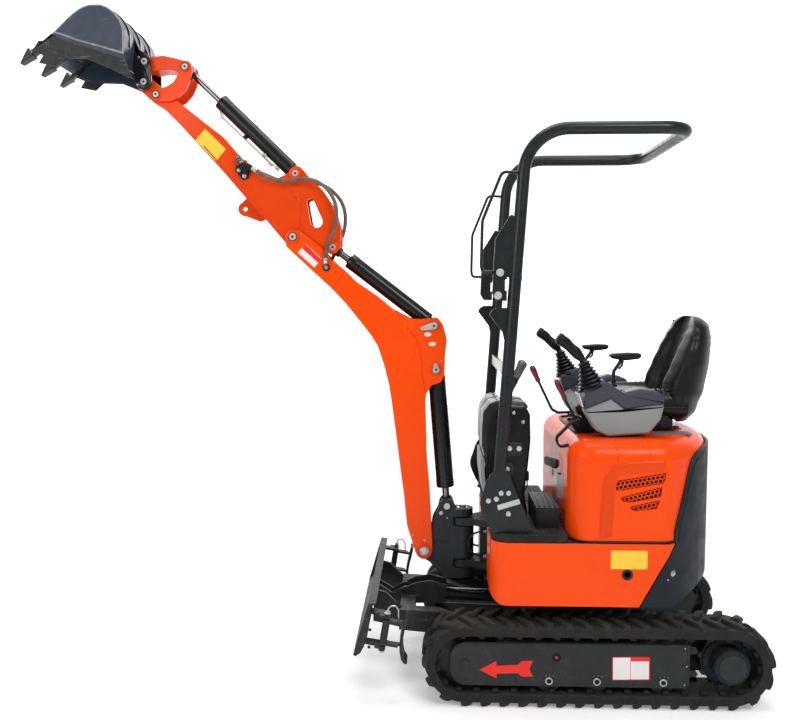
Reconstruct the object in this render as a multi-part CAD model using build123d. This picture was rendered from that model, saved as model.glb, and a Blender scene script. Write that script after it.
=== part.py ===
from build123d import *
import math
import os

os.makedirs("parts", exist_ok=True)

# Mini excavator, millimetres. +X forward, +Y machine left, +Z up.
# Origin: on the ground, on the slew axis.

# ---------------------------------------------------------------- driving dimensions
TRACK_LENGTH = 1342.0
TRACK_HEIGHT = 332.0
TRACK_WIDTH = 180.0
GAUGE = 720.0                 # centre to centre of the tracks
BELT = 27.0                   # belt thickness
LUG = 27.0                    # lug height
LUG_PITCH_COUNT = 39
TAIL_RADIUS = 509.0           # tail swing about the slew axis
BODY_HALF = 440.0             # half width of the upper body
BODY_FRONT = 409.0
DECK_Z = 640.0
HOOD_TOP = 1028.0
ROPS_Y = 380.0
ROPS_TOP = 2192.0             # centre of the top tube
ROPS_R = 24.0
SWING_X = 500.0               # boom swing axis

# pins of the working gear, (x, z) on the centre plane
P_FOOT = (665.0, 492.0)       # boom foot
P_K = (568.0, 682.0)          # boom cylinder, swing bracket end
P_BC = (616.0, 1265.0)        # boom cylinder, boom end
P_AB = (625.0, 1448.0)        # arm cylinder, boom end
P_A = (1213.0, 1817.0)        # arm pivot
P_AR = (1048.0, 1774.0)       # arm cylinder, arm end
P_CB = (1202.0, 2079.0)       # bucket cylinder, arm end
P_G = (1774.0, 2401.0)        # guide link
P_E = (1652.0, 2512.0)        # joint of guide link, bucket link and rod
P_B = (1821.0, 2450.0)        # bucket pivot
P_U = (1817.0, 2532.0)        # bucket link on the bucket
P_BL = (300.0, 150.0)         # blade arm pivot
P_BLC = (300.0, 272.0)        # blade cylinder, frame end
P_BLR = (735.0, 286.0)        # blade cylinder, blade end
P_HB = (1073.0, 1690.0)       # where the auxiliary hoses enter the boom
WING_TOP = (794.5, 400.0)     # blade wing hinge line, top and bottom
WING_BOT = (827.0, 201.0)
WING_Y = 452.0

RUN = 0.4                     # radial gap at pins between moving pieces


# ---------------------------------------------------------------- helpers
def rounded(pts, y):
    """closed XZ wire at height y from (x, z[, r]) points, corners rounded by r"""
    n = len(pts)
    segs = []
    for i in range(n):
        p0, p1, p2 = pts[i - 1], pts[i], pts[(i + 1) % n]
        r = p1[2] if len(p1) > 2 else 0.0
        ax, az = p0[0] - p1[0], p0[1] - p1[1]
        bx, bz = p2[0] - p1[0], p2[1] - p1[1]
        la, lb = math.hypot(ax, az), math.hypot(bx, bz)
        ax, az, bx, bz = ax / la, az / la, bx / lb, bz / lb
        if r <= 0:
            segs.append(((p1[0], p1[1]), (p1[0], p1[1]), None))
            continue
        cosang = max(-1.0, min(1.0, ax * bx + az * bz))
        half = math.acos(cosang) / 2.0
        t = min(r / math.tan(half), 0.49 * la, 0.49 * lb)
        r = t * math.tan(half)
        s = (p1[0] + ax * t, p1[1] + az * t)
        e = (p1[0] + bx * t, p1[1] + bz * t)
        mx, mz = ax + bx, az + bz
        ml = math.hypot(mx, mz)
        d = r / math.sin(half)
        c = (p1[0] + mx / ml * d, p1[1] + mz / ml * d)
        m = (c[0] - mx / ml * r, c[1] - mz / ml * r)
        segs.append((s, e, m))
    edges = []
    for i in range(n):
        s, e, m = segs[i]
        if m is not None:
            edges.append(ThreePointArc((s[0], y, s[1]), (m[0], y, m[1]), (e[0], y, e[1])))
        nxt = segs[(i + 1) % n][0]
        if math.hypot(nxt[0] - e[0], nxt[1] - e[1]) > 1e-4:
            edges.append(Line((e[0], y, e[1]), (nxt[0], y, nxt[1])))
    return edges


def prof(pts, y0, y1):
    """XZ outline, extruded from y0 to y1"""
    f = make_face(rounded(pts, y0))
    return extrude(f, amount=y1 - y0, dir=(0, 1, 0))


def cyl(p0, p1, r):
    p0, p1 = Vector(*p0), Vector(*p1)
    d = p1 - p0
    return Solid.make_cylinder(r, d.length, Plane(origin=p0, z_dir=d))


def pin(p, y0, y1, r):
    return cyl((p[0], y0, p[1]), (p[0], y1, p[1]), r)


def box(x0, x1, y0, y1, z0, z1):
    return Pos(x0, y0, z0) * Box(x1 - x0, y1 - y0, z1 - z0, align=(Align.MIN, Align.MIN, Align.MIN))


def mir(s):
    return s.mirror(Plane.XZ)


def tube(points, radii, r):
    path = FilletPolyline(*points, radius=radii)
    start = path @ 0
    tan = path % 0
    prof_face = Plane(origin=start, z_dir=tan) * Circle(r)
    return sweep(prof_face, path=path)


def face_xy(pts, z):
    """XY face at height z with rounded corners"""
    wires = rounded(pts, 0.0)
    out = []
    for e in wires:
        a, b = e @ 0, e @ 1
        if e.geom_type == GeomType.LINE:
            out.append(Line((a.X, a.Z, z), (b.X, b.Z, z)))
        else:
            m = e @ 0.5
            out.append(ThreePointArc((a.X, a.Z, z), (m.X, m.Z, z), (b.X, b.Z, z)))
    return make_face(out)


def slab(pts, z0, z1):
    return extrude(face_xy(pts, z0), amount=z1 - z0, dir=(0, 0, 1))


def save(name, shape):
    if isinstance(shape, (list, tuple)):
        flat = []
        for s in shape:
            flat.extend(s.solids())
        out = Compound(children=[Solid(s.wrapped) for s in flat]) if len(flat) > 1 else flat[0]
    else:
        sols = shape.solids()
        out = sols[0] if len(sols) == 1 else Compound(children=[Solid(s.wrapped) for s in sols])
    export_step(out, "parts/%s.step" % name)
    print(name, round(sum(s.volume for s in (out.solids())) / 1e6, 3), "dm3", len(out.solids()), "solids")


# ---------------------------------------------------------------- tracks
R_END = TRACK_HEIGHT / 2.0                       # over the lugs
R_BELT = R_END - LUG                             # belt outside
R_IN = R_BELT - BELT                             # belt inside
AXLE = TRACK_LENGTH / 2.0 - R_END                # idler and sprocket stations
ZC = R_END
R_PITCH = R_BELT - BELT / 2.0
STRAIGHT = 2 * AXLE
LOOP = 2 * STRAIGHT + 2 * math.pi * R_PITCH


def loop_point(s, h):
    """point on the track outline: s along the pitch line, h out from the belt outside"""
    s = s % LOOP
    arc = math.pi * R_PITCH
    R = R_BELT + h
    if s < STRAIGHT:                              # bottom run, rear to front
        return (-AXLE + s, ZC - R)
    s -= STRAIGHT
    if s < arc:                                   # front end
        a = -math.pi / 2 + s / R_PITCH
        return (AXLE + R * math.cos(a), ZC + R * math.sin(a))
    s -= arc
    if s < STRAIGHT:                              # top run, front to rear
        return (AXLE - s, ZC + R)
    s -= STRAIGHT
    a = math.pi / 2 + s / R_PITCH
    return (-AXLE + R * math.cos(a), ZC + R * math.sin(a))


def track_half(y0, y1, shift):
    pitch = LOOP / LUG_PITCH_COUNT
    pts = []
    for i in range(LUG_PITCH_COUNT):
        s0 = shift + i * pitch
        for ds, h in ((-20, 0), (-13, LUG), (13, LUG), (20, 0), (pitch / 2, 0)):
            pts.append(loop_point(s0 + ds, h))
    clean = []
    for p in pts:
        if not clean or math.hypot(p[0] - clean[-1][0], p[1] - clean[-1][1]) > 0.5:
            clean.append(p)
    f = make_face(Polyline(*[(p[0], y0, p[1]) for p in clean], close=True))
    s = extrude(f, amount=y1 - y0, dir=(0, 1, 0))
    inner = prof([(-AXLE - R_IN, ZC - R_IN, R_IN * 0.999), (AXLE + R_IN, ZC - R_IN, R_IN * 0.999),
                  (AXLE + R_IN, ZC + R_IN, R_IN * 0.999), (-AXLE - R_IN, ZC + R_IN, R_IN * 0.999)], y0 - 5, y1 + 5)
    return s - inner


TY0, TY1 = GAUGE / 2 - TRACK_WIDTH / 2, GAUGE / 2 + TRACK_WIDTH / 2
pitch = LOOP / LUG_PITCH_COUNT
left_track = track_half(TY0, GAUGE / 2, 10.0) + track_half(GAUGE / 2, TY1, 10.0 + pitch / 2)
save("left_track", left_track)
save("right_track", mir(left_track))

# ---------------------------------------------------------------- track frames, rollers, idlers, sprockets
FY0, FY1 = 292.0, 438.0
ROLLERS_X = (185.0, 3.0, -247.0)
ROLLER_Z = ZC - R_IN + 52.3
frame_side = [(-345, 84, 12), (560, 84, 60), (560, 252, 60), (-345, 252, 12)]
outer = prof(frame_side, FY1 - 8, FY1)
inner_side = prof([(-590, 100, 60), (-345, 92), (-345, 84), (560, 84, 60), (560, 252, 60), (-345, 252), (-345, 244),
                   (-590, 232, 60)], FY0, FY0 + 8)
top = box(-345, 385, FY0, FY1, 244, 252)
rear_wall = box(-345, -337, FY0, FY1, 100, 252)
frame = outer + inner_side + top + rear_wall
frame += cyl((505, FY0, ZC), (505, FY0 + 20, ZC), 34) + cyl((505, FY1 - 20, ZC), (505, FY1, ZC), 34)
for rx in ROLLERS_X:
    frame -= cyl((rx, FY0 - 1, ROLLER_Z), (rx, FY1 + 1, ROLLER_Z), 13.4)
frame -= cyl((505, FY0 - 1, ZC), (505, FY1 + 1, ZC), 18.4)
frame -= cyl((-505, FY0 - 1, ZC), (-505, FY0 + 9, ZC), 40.4)
save("track_frames", [frame, mir(frame)])

rollers = []
for rx in ROLLERS_X:
    body = (cyl((rx, 312, ROLLER_Z), (rx, 340, ROLLER_Z), 52) + cyl((rx, 390, ROLLER_Z), (rx, 418, ROLLER_Z), 52)
            + cyl((rx, 335, ROLLER_Z), (rx, 395, ROLLER_Z), 36) + cyl((rx, FY0 - 6, ROLLER_Z), (rx, FY1 + 6, ROLLER_Z), 13))
    rollers += [body, mir(body)]
b = (cyl((505, 335, ZC), (505, 385, ZC), R_IN - 0.4) + cyl((505, FY0 - 6, ZC), (505, FY1 + 4, ZC), 18)
     + cyl((505, 318, ZC), (505, 402, ZC), 40))
save("rollers_and_idlers", rollers + [b, mir(b)])
sprs = []
spr = cyl((-505, 350, ZC), (-505, 370, ZC), 98)
for k in range(9):
    a = 2 * math.pi * k / 9 + 0.2
    spr += cyl((-505 + 96 * math.cos(a), 352, ZC + 96 * math.sin(a)), (-505 + 96 * math.cos(a), 368, ZC + 96 * math.sin(a)), 14)
spr += cyl((-505, FY0 - 26, ZC), (-505, FY0 + 30, ZC), 40) + cyl((-505, FY0 + 20, ZC), (-505, 438, ZC), 68)
spr += cyl((-505, 437, ZC), (-505, 450, ZC), 52)
sprs = [spr, mir(spr)]
save("drive_sprockets", sprs)

# ---------------------------------------------------------------- carbody with slew ring
cb = box(-230, 250, -200, 200, 130, 300)
cb -= box(-222, 242, -190, 190, 138, 292)
cb -= cyl((0, 0, 120), (0, 0, 145), 70)
for x0 in (-190, 55):
    cb += box(x0, x0 + 110, -FY0, -195, 112, 232) + box(x0, x0 + 110, 195, FY0, 112, 232)
for sy in (1, -1):
    for ya, yb in ((168, 183), (217, 232)):
        y0, y1 = (ya, yb) if sy > 0 else (-yb, -ya)
        cb += prof([(200, 140), (300, 112, 36), (338, 150, 36), (300, 190, 30), (200, 232)], y0, y1)
    cb += box(200, 251, min(sy * 168, sy * 232), max(sy * 168, sy * 232), 131, 232)
    cb += pin(P_BL, min(sy * 160, sy * 240), max(sy * 160, sy * 240), 14)
for y0 in (-44, 30):
    cb += prof([(215, 260), (250, 238), (322, 246, 20), (322, 298, 20), (215, 300)], y0, y0 + 14)
cb += pin(P_BLC, -50, 50, 13)
save("carbody", cb)
ring = cyl((0, 0, 300), (0, 0, 344), 190) - cyl((0, 0, 299), (0, 0, 345), 120)
save("slew_ring", ring)

# ---------------------------------------------------------------- blade
front = [(875, 402), (879.5, 372), (882, 335), (886, 300), (893, 268), (903, 240), (916, 216), (933, 201)]
back = [(924, 196), (906, 208), (892, 233), (881, 263), (874, 298), (870, 335), (867, 372), (862, 396)]
board = prof(front + back + [(845, 396), (845, 402)], -445, 445)
cheek = [(875, 402), (933, 201), (924, 196), (906, 208), (892, 233), (881, 263), (874, 298), (870, 335), (867, 372), (863, 402)]
board += prof(cheek, 443, 450) + prof(cheek, -450, -443)
arms = None
for sy in (1, -1):
    beam = prof([(345, 120), (600, 200), (765, 214), (765, 298), (600, 290), (345, 204)], min(sy * 172, sy * 228), max(sy * 172, sy * 228))
    tongue = prof([(300, 114, 34), (360, 120), (360, 205), (300, 187, 34), (264, 150, 30)], min(sy * 186, sy * 214), max(sy * 186, sy * 214))
    beam += tongue
    beam -= pin(P_BL, -300, 300, 14 + RUN)
    arms = beam if arms is None else arms + beam
arms += box(700, 762, -228, 228, 216, 296)
for sy in (1, -1):
    arms += prof([(755, 214), (872, 240), (869, 372), (820, 360), (755, 298)], min(sy * 186, sy * 202), max(sy * 186, sy * 202))
for y0, y1 in ((24, 38), (-38, -24)):
    arms += prof([(700, 290), (704, 316, 20), (745, 330, 24), (800, 300), (862, 340), (874, 300), (868, 262), (755, 240), (700, 240)], y0, y1)
for sy in (1, -1):
    arms += prof([(572, 262, 8), (566, 340, 10), (640, 358, 8), (700, 348, 16), (748, 326), (748, 258)], min(sy * 38.2, sy * 44.4), max(sy * 38.2, sy * 44.4))
    arms += box(704, 744, min(sy * 26, sy * 44), max(sy * 26, sy * 44), 262, 318)
# wing hinge brackets, square to the hinge line
wt, wb = Vector(WING_TOP[0], 0, WING_TOP[1]), Vector(WING_BOT[0], 0, WING_BOT[1])
wdir = (wt - wb).normalized()
wlen = (wt - wb).length


def on_hinge(t, y):
    p = wb + wdir * t
    return Vector(p.X, y, p.Z)


def hinge_plate(t0, t1, x0, x1, y0, y1, r=None):
    """plate square to the hinge line, from t0 to t1 along it; x measured forward from the line"""
    pl = Plane(origin=on_hinge(t0, 0), x_dir=Vector(wdir.Z, 0, -wdir.X), z_dir=wdir)
    return pl * (Pos((x0 + x1) / 2, (y0 + y1) / 2, 0) * Box(x1 - x0, y1 - y0, t1 - t0, align=(Align.CENTER, Align.CENTER, Align.MIN)))


for sy in (1, -1):
    for t0, t1 in ((30, 40), (150, 160)):
        ya, yb = (400, 464) if sy > 0 else (-464, -400)
        pl = hinge_plate(t0, t1, -12, 74, ya, yb)
        pl -= hinge_plate(t0 - 1, t1 + 1, 30, 90, 442 if sy > 0 else -470, 470 if sy > 0 else -442)
        arms += pl
    arms += cyl(tuple(on_hinge(22, sy * WING_Y)), tuple(on_hinge(168, sy * WING_Y)), 8)
arms -= box(680, 776, -23.5, 23.5, 236, 330)
save("dozer_blade", board)
save("blade_arms", arms - board)


def wing(sy):
    """wing plate folded back behind the blade: the board outline mirrored across the hinge line"""
    def refl(p):
        d = (p[0] - wb.X) * wdir.X + (p[1] - wb.Z) * wdir.Z
        fx, fz = wb.X + wdir.X * d, wb.Z + wdir.Z * d
        return (2 * fx - p[0], 2 * fz - p[1])
    pts = [refl(p) for p in front + back]
    ya, yb = (366, 446) if sy > 0 else (-446, -366)
    w = prof(pts, ya, yb)
    for t0, t1 in ((46, 56), (134, 144)):
        pa, pb = (432, 446) if sy > 0 else (-446, -432)
        w += hinge_plate(t0, t1, -68, 12, pa, pb)
        pa, pb = (445, 464) if sy > 0 else (-464, -445)
        w += hinge_plate(t0, t1, -58, 12, pa, pb)
    w += cyl(tuple(on_hinge(46, sy * WING_Y)), tuple(on_hinge(144, sy * WING_Y)), 14)
    w -= cyl(tuple(on_hinge(20, sy * WING_Y)), tuple(on_hinge(170, sy * WING_Y)), 8 + RUN)
    return w


save("blade_wing_left", wing(1))
save("blade_wing_right", wing(-1))


# ---------------------------------------------------------------- cylinders
def along(p, q, d):
    L = math.hypot(q[0] - p[0], q[1] - p[1])
    return (p[0] + (q[0] - p[0]) * d / L, p[1] + (q[1] - p[1]) * d / L)


def seg(p, q, d0, d1, r):
    a, b = along(p, q, d0), along(p, q, d1)
    return cyl((a[0], 0, a[1]), (b[0], 0, b[1]), r)


def barrel(base, eye, length, r, rod_r, eye_r, eye_half, pin_r):
    s = seg(base, eye, 30, length, r)
    s += pin(base, -eye_half, eye_half, eye_r)
    s += seg(base, eye, 4, 40, eye_r * 0.8)
    s -= seg(base, eye, 60, length + 5, rod_r + 0.5)
    s -= pin(base, -eye_half - 5, eye_half + 5, pin_r + RUN)
    return s


def rod(base, eye, start, rod_r, eye_r, eye_half):
    L = math.hypot(eye[0] - base[0], eye[1] - base[1])
    s = seg(base, eye, start, L - eye_r * 0.6, rod_r)
    s += pin(eye, -eye_half, eye_half, eye_r)
    s += seg(base, eye, L - eye_r * 1.6, L - eye_r * 0.5, rod_r * 1.35)
    return s


save("boom_cylinder_barrel", barrel(P_BC, P_K, 508, 37, 15, 30, 30, 15))
save("boom_cylinder_rod", rod(P_BC, P_K, 90, 15, 24, 19))
save("arm_cylinder_barrel", barrel(P_AB, P_AR, 450, 33, 15, 28, 30, 15))
save("arm_cylinder_rod", rod(P_AB, P_AR, 90, 15, 24, 19))
save("bucket_cylinder_barrel", barrel(P_CB, P_E, 440, 32, 13, 27, 26, 15))
save("bucket_cylinder_rod", rod(P_CB, P_E, 150, 13, 24, 18))
save("blade_cylinder_barrel", barrel(P_BLC, P_BLR, 300, 33, 13, 28, 28, 13))
save("blade_cylinder_rod", rod(P_BLC, P_BLR, 130, 13, 22, 20))

# ---------------------------------------------------------------- swing bracket (king post)
sb = prof([(500, 372), (575, 368, 10), (640, 440), (690, 470, 26), (694, 515, 26), (640, 545), (628, 620), (604, 668), (596, 706, 24),
           (548, 716, 24), (532, 668), (500, 666)], -46, 46)
sb += cyl((SWING_X, 0, 372), (SWING_X, 0, 414), 46) + cyl((SWING_X, 0, 456), (SWING_X, 0, 594), 48)
sb += cyl((SWING_X, 0, 636), (SWING_X, 0, 668), 44)
for z0, z1 in ((414, 456), (594, 636)):
    sb -= cyl((SWING_X, 0, z0), (SWING_X, 0, z1), 60)
sb += cyl((SWING_X, 0, 373), (SWING_X, 0, 667), 22)
sb -= box(528, 660, -23, 23, 560, 730)                # gap for the cylinder rod's eye
sb -= pin(P_FOOT, -60, 60, 17 + RUN)
save("swing_bracket", sb)

# ---------------------------------------------------------------- boom
boom_outline = [(1239, 1775, 0), (1144, 1687), (1046, 1597), (996, 1543), (929, 1461), (884, 1402), (860, 1362), (834, 1284),
                (813, 1200), (800, 1116), (783, 989), (767, 861), (750, 733), (742, 647), (736, 597), (718, 541),
                (701, 484, 30), (665, 456, 34), (629, 492, 30), (633, 575), (636, 647), (641, 747), (654, 892), (660, 1124), (656, 1162), (634, 1199),
                (596, 1211, 20), (580, 1245), (578, 1322), (571, 1393), (587, 1452, 26), (610, 1482, 20), (683, 1476), (725, 1478), (792, 1514), (860, 1571),
                (950, 1632), (995, 1678), (1053, 1722), (1094, 1772), (1180, 1842, 20), (1226, 1853, 28), (1251, 1817, 30)]
boom = prof(boom_outline, -60, 60)
cav = [(1130, 1687), (1046, 1607), (990, 1549), (920, 1462), (877, 1404), (852, 1362), (826, 1284),
       (805, 1200), (792, 1116), (775, 989), (759, 861), (742, 733), (734, 647), (728, 600), (700, 560),
       (645, 560), (645, 647), (649, 747), (662, 892), (668, 1124), (672, 1229), (679, 1341), (698, 1400), (744, 1458),
       (856, 1557), (945, 1619), (988, 1664), (1048, 1708), (1094, 1761)]
boom -= prof(cav, -50, 50)
# open between the cheeks: rear lugs of the two cylinders
boom -= prof([(560, 1140), (655, 1140), (657, 1180), (664, 1229), (671, 1341), (690, 1402), (738, 1464), (850, 1564), (842, 1580), (780, 1530),
              (715, 1495), (560, 1500)], -50, 50)
# fork at the foot and at the arm
boom -= prof([(600, 430), (760, 430), (760, 560), (700, 610), (690, 700), (600, 700)], -50, 50)
boom -= cyl((P_A[0], -50, P_A[1]), (P_A[0], 50, P_A[1]), 128)
boom -= prof([(990, 1810), (990, 1722), (1025, 1700), (1110, 1735), (1200, 1810), (1200, 1900), (1080, 1900)], -50, 50)
for p, r in ((P_FOOT, 17), (P_A, 16), (P_BC, 15), (P_AB, 15)):
    boom += pin(p, -66, 66, r)
boom += pin(P_FOOT, -64, -58, 34) + pin(P_FOOT, 58, 64, 34)
boom += pin(P_A, -64, -58, 29) + pin(P_A, 58, 64, 29)
boom += pin(P_HB, -64, -58, 13) + pin(P_HB, 58, 64, 13)   # hose bosses
save("boom", boom)

# ---------------------------------------------------------------- arm
arm_outline = [(1790, 2372, 18), (1743, 2344), (1677, 2277), (1593, 2186), (1509, 2094), (1408, 1977), (1329, 1892), (1252, 1800, 24),
               (1213, 1775, 40), (1150, 1795), (1086, 1758), (1048, 1742, 32), (1014, 1776, 30), (1015, 1847), (1033, 1911), (1054, 1957), (1097, 2019), (1153, 2072),
               (1180, 2106, 24), (1206, 2112, 24), (1240, 2076), (1274, 2061), (1338, 2087), (1423, 2139), (1507, 2235), (1600, 2306),
               (1696, 2383), (1808, 2478, 24), (1852, 2464, 24), (1848, 2424, 24)]
arm = prof(arm_outline, -45, 45)
arm -= prof([(1700, 2312), (1590, 2196), (1505, 2104), (1403, 1987), (1322, 1902), (1262, 1850), (1185, 1868), (1192, 2020), (1215, 2045), (1240, 2055), (1276, 2051), (1343, 2077),
             (1430, 2133), (1514, 2227), (1606, 2297), (1690, 2364)], -36, 36)
# open between the side plates, from the hub to the two cylinder lugs
arm -= prof([(990, 1700), (1150, 1740), (1168, 1800), (1172, 1870), (1190, 1900), (1192, 2036), (1236, 2050), (1262, 2066), (1262, 2150), (1140, 2150), (990, 1990)], -33, 33)
# drop-shaped hole: two circles and their common tangents
arm -= (pin((1140, 1961), -60, 60, 19.5) + pin((1115, 1881), -60, 60, 30)
        + prof([(1159.19, 1957.56), (1144.53, 1875.71), (1087.71, 1893.47), (1122.26, 1969.10)], -60, 60))
arm += pin(P_A, -47, 47, 40)
arm -= pin(P_A, -60, 60, 16 + RUN)
arm += pin(P_CB, -50, 50, 15) + pin(P_CB, -50, -44, 27) + pin(P_CB, 44, 50, 27)
arm += pin(P_AR, 33, 50, 22) + pin(P_AR, -50, -33, 22)
arm += pin(P_G, -66, 66, 14)
arm -= pin(P_B, -60, 60, 15 + RUN)
# lifting ear under the arm
EAR = (1421.0, 1937.0)
arm += prof([(1405, 1992), (1418, 1979), (1441, 1957), (1430, 1911), (1358, 1884, 8), (1327, 1897)], -8, 8) + pin(EAR, -8, 8, 30)
arm -= pin(EAR, -20, 20, 9)
save("arm", arm)

# ---------------------------------------------------------------- guide links and bucket link
g_out = [(1792, 2388, 16), (1765, 2374, 14), (1713, 2374), (1680, 2390), (1650, 2422), (1632, 2460), (1622, 2501), (1630, 2534, 18), (1664, 2540, 18),
         (1679, 2512, 12), (1682, 2483), (1702, 2451), (1731, 2433), (1762, 2426), (1790, 2418, 16)]
gl = []
for y0, y1 in ((46.5, 59), (-59, -46.5)):
    g = prof(g_out, y0, y1)
    g -= pin(P_G, y0 - 1, y1 + 1, 14 + RUN)
    g += pin(P_E, min(y0, y1 if y0 > 0 else y0 - 5), max(y1, y1 + 5 if y0 > 0 else y1), 20)
    gl.append(g)
save("guide_links", gl)
h_out = [(1838, 2548, 14), (1797, 2558), (1745, 2562), (1690, 2550), (1660, 2541, 20), (1626, 2512, 24), (1660, 2484, 20), (1700, 2502), (1745, 2506), (1793, 2498), (1836, 2510, 14)]
hl = prof(h_out, -44, 44)
hl -= box(1600, 1700, -23, 23, 2400, 2600)            # fork round the rod's eye
hl -= pin(P_U, -60, 60, 15 + RUN)
save("bucket_link", hl)

# ---------------------------------------------------------------- bucket
shell_o = [(2211, 2553), (2136, 2612), (2094, 2652), (2052, 2688), (2020, 2708), (1985, 2719), (1950, 2719), (1918, 2708), (1890, 2687), (1866, 2652), (1856, 2618),
           (1856, 2585), (1862, 2530), (1868, 2490)]
shell_i = [(2207, 2545), (2131, 2606), (2089, 2645), (2047, 2681), (2017, 2700), (1984, 2711), (1952, 2711), (1922, 2701), (1896, 2681), (1874, 2648), (1864, 2616),
           (1864, 2586), (1870, 2532), (1876, 2493)]
bucket = prof(shell_o + shell_i[::-1], -200, 200)
side = [(2219, 2548), (2207, 2562), (2136, 2612), (2094, 2652), (2052, 2688), (2020, 2708), (1985, 2719), (1950, 2719), (1918, 2708), (1890, 2687), (1866, 2652), (1856, 2618),
        (1856, 2585), (1858, 2520), (1846, 2490, 8), (1822, 2432, 6), (1850, 2444), (1914, 2476), (2005, 2514), (2097, 2518), (2130, 2512)]
bucket += prof(side, 192, 200) + prof(side, -200, -192)
strip = [(2226, 2544), (2140, 2606), (2126, 2590), (1852, 2506, 8), (1822, 2430, 6), (1850, 2440), (1914, 2472), (2005, 2509), (2097, 2513), (2135, 2506)]
bucket += prof(strip, 199, 207) + prof(strip, -207, -199)
bucket += prof([(2216, 2546), (2206, 2556), (2140, 2608), (2130, 2600)], -207, 207)
for y0 in (199, -207):
    bucket += prof([(2195, 2494), (2172, 2532), (2150, 2560), (2100, 2530), (2091, 2513), (2128, 2481)], y0, y0 + 8)
for y in (-182, 0, 182):
    bucket += prof([(2275, 2493), (2238, 2556), (2196, 2582), (2172, 2580), (2168, 2572), (2200, 2544), (2226, 2524)], y - 21, y + 21)
ears = [(1905, 2690, 10), (1862, 2646), (1836, 2580), (1796, 2554, 20), (1790, 2520), (1790, 2440), (1806, 2418, 18), (1846, 2420, 18), (1860, 2450), (1866, 2500), (1880, 2560)]
inside = prof(shell_i + [(2200, 2440), (1884, 2440)], -192, 192)
for y0, y1 in ((61, 73), (-73, -61)):
    bucket += prof(ears, y0, y1) - inside
bucket += pin(P_B, -78, 78, 15) + pin(P_U, -78, 78, 15)
save("bucket", bucket)

# ---------------------------------------------------------------- upper frame
uf = cyl((0, 0, 345), (0, 0, 383), 205)
uf += slab([(-380, -300, 60), (392, -300, 20), (392, 300, 20), (-380, 300, 60)], 382, 396)
for y0 in (-126, 110):
    uf += box(-330, 392, y0, y0 + 16, 395, 620)
uf += box(376, 396, -210, 210, 395, 620)
uf += slab([(-270, -418, 20), (396, -418, 50), (396, 418, 50), (-270, 418, 20)], 618, 640)
for z0, z1 in ((420, 450), (600, 630)):
    nose = slab([(380, -90, 0), (450, -52, 0), (500, -52, 0), (500, 52, 0), (450, 52, 0), (380, 90, 0)], z0, z1)
    nose += cyl((SWING_X, 0, z0), (SWING_X, 0, z1), 52)
    uf += nose
uf -= cyl((SWING_X, 0, 400), (SWING_X, 0, 660), 22 + RUN)
uf += box(394, 428, -58, 58, 448, 602)
for sy in (1, -1):
    for z in (476, 582):
        uf += cyl((388, sy * 72, z), (404, sy * 72, z), 9)
save("upper_frame", uf)

# ---------------------------------------------------------------- side skirts (orange), counterweight
T = 7.0
plan_o = face_xy([(BODY_FRONT, -BODY_HALF, 70), (BODY_FRONT, BODY_HALF, 70), (-700, BODY_HALF, 0), (-700, -BODY_HALF, 0)], 300)
body_o = extrude(plan_o, amount=800, dir=(0, 0, 1)) & (cyl((0, 0, 300), (0, 0, 1100), TAIL_RADIUS) + box(0, 600, -545, 545, 300, 1100))
plan_i = face_xy([(BODY_FRONT - T, -BODY_HALF + T, 63), (BODY_FRONT - T, BODY_HALF - T, 63), (-700, BODY_HALF - T, 0), (-700, -BODY_HALF + T, 0)], 290)
body_i = extrude(plan_i, amount=900, dir=(0, 0, 1)) & (cyl((0, 0, 290), (0, 0, 1190), TAIL_RADIUS - T) + box(0, 600, -537, 537, 290, 1190))
side_cut = prof([(BODY_FRONT + 5, DECK_Z, 0), (BODY_FRONT + 5, 398, 60), (-150, 398, 0), (-225, 536, 0), (-284, DECK_Z, 0)], -500, 500)
skirt = (body_o & side_cut) - body_i
skirt -= box(340, 500, -215, 215, 300, 700)
save("side_skirts", [s for s in skirt.solids()])

# counterweight: heavy curved wall behind the diagonal joint and behind the hood
CW_T = 42.0
cw_side = [(-155, 398, 0), (-230, 536, 0), (-289, DECK_Z, 0), (-291, 690, 30), (-308, 750, 0), (-326, 815, 0), (-343, 880, 0), (-358, 928, 14), (-382, 957, 20), (-420, 972, 20), (-520, 983, 0), (-700, 986, 0), (-700, 520, 0), (-470, 462, 40), (-372, 434, 30), (-300, 398, 30)]
cw = body_o & prof(cw_side, -500, 500)
cw_in = (extrude(face_xy([(300, -BODY_HALF + CW_T, 0), (300, BODY_HALF - CW_T, 0), (-700, BODY_HALF - CW_T, 0), (-700, -BODY_HALF + CW_T, 0)], 290), amount=900, dir=(0, 0, 1))
         & cyl((0, 0, 290), (0, 0, 1190), TAIL_RADIUS - CW_T))
cw -= cw_in
try:
    e = [x for x in cw.edges() if x.center().X < -500 and x.center().Z > 975 and x.length > 300]
    cw = fillet(e, 14)
except Exception:
    pass
save("counterweight", cw)

# ---------------------------------------------------------------- engine hood (orange shell) and engine
def hood_body(off):
    s = slab([(112 - off, -430 + off, 92 - off), (112 - off, 430 - off, 92 - off), (-700, 430 - off, 0), (-700, -430 + off, 0)], DECK_Z + 2, HOOD_TOP - off)
    s = s & (cyl((0, 0, 600), (0, 0, 1100), TAIL_RADIUS - 10 - off) + box(0, 600, -545, 545, 600, 1100))
    s = s.solids()[0]
    up = [e for e in s.edges() if e.center().X < -200 and abs(e.bounding_box().size.Z) > 300]
    s = fillet(up, 90)
    top = s.faces().sort_by(Axis.Z)[-1]
    s = fillet(top.edges(), 72 - off)
    return s


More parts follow.
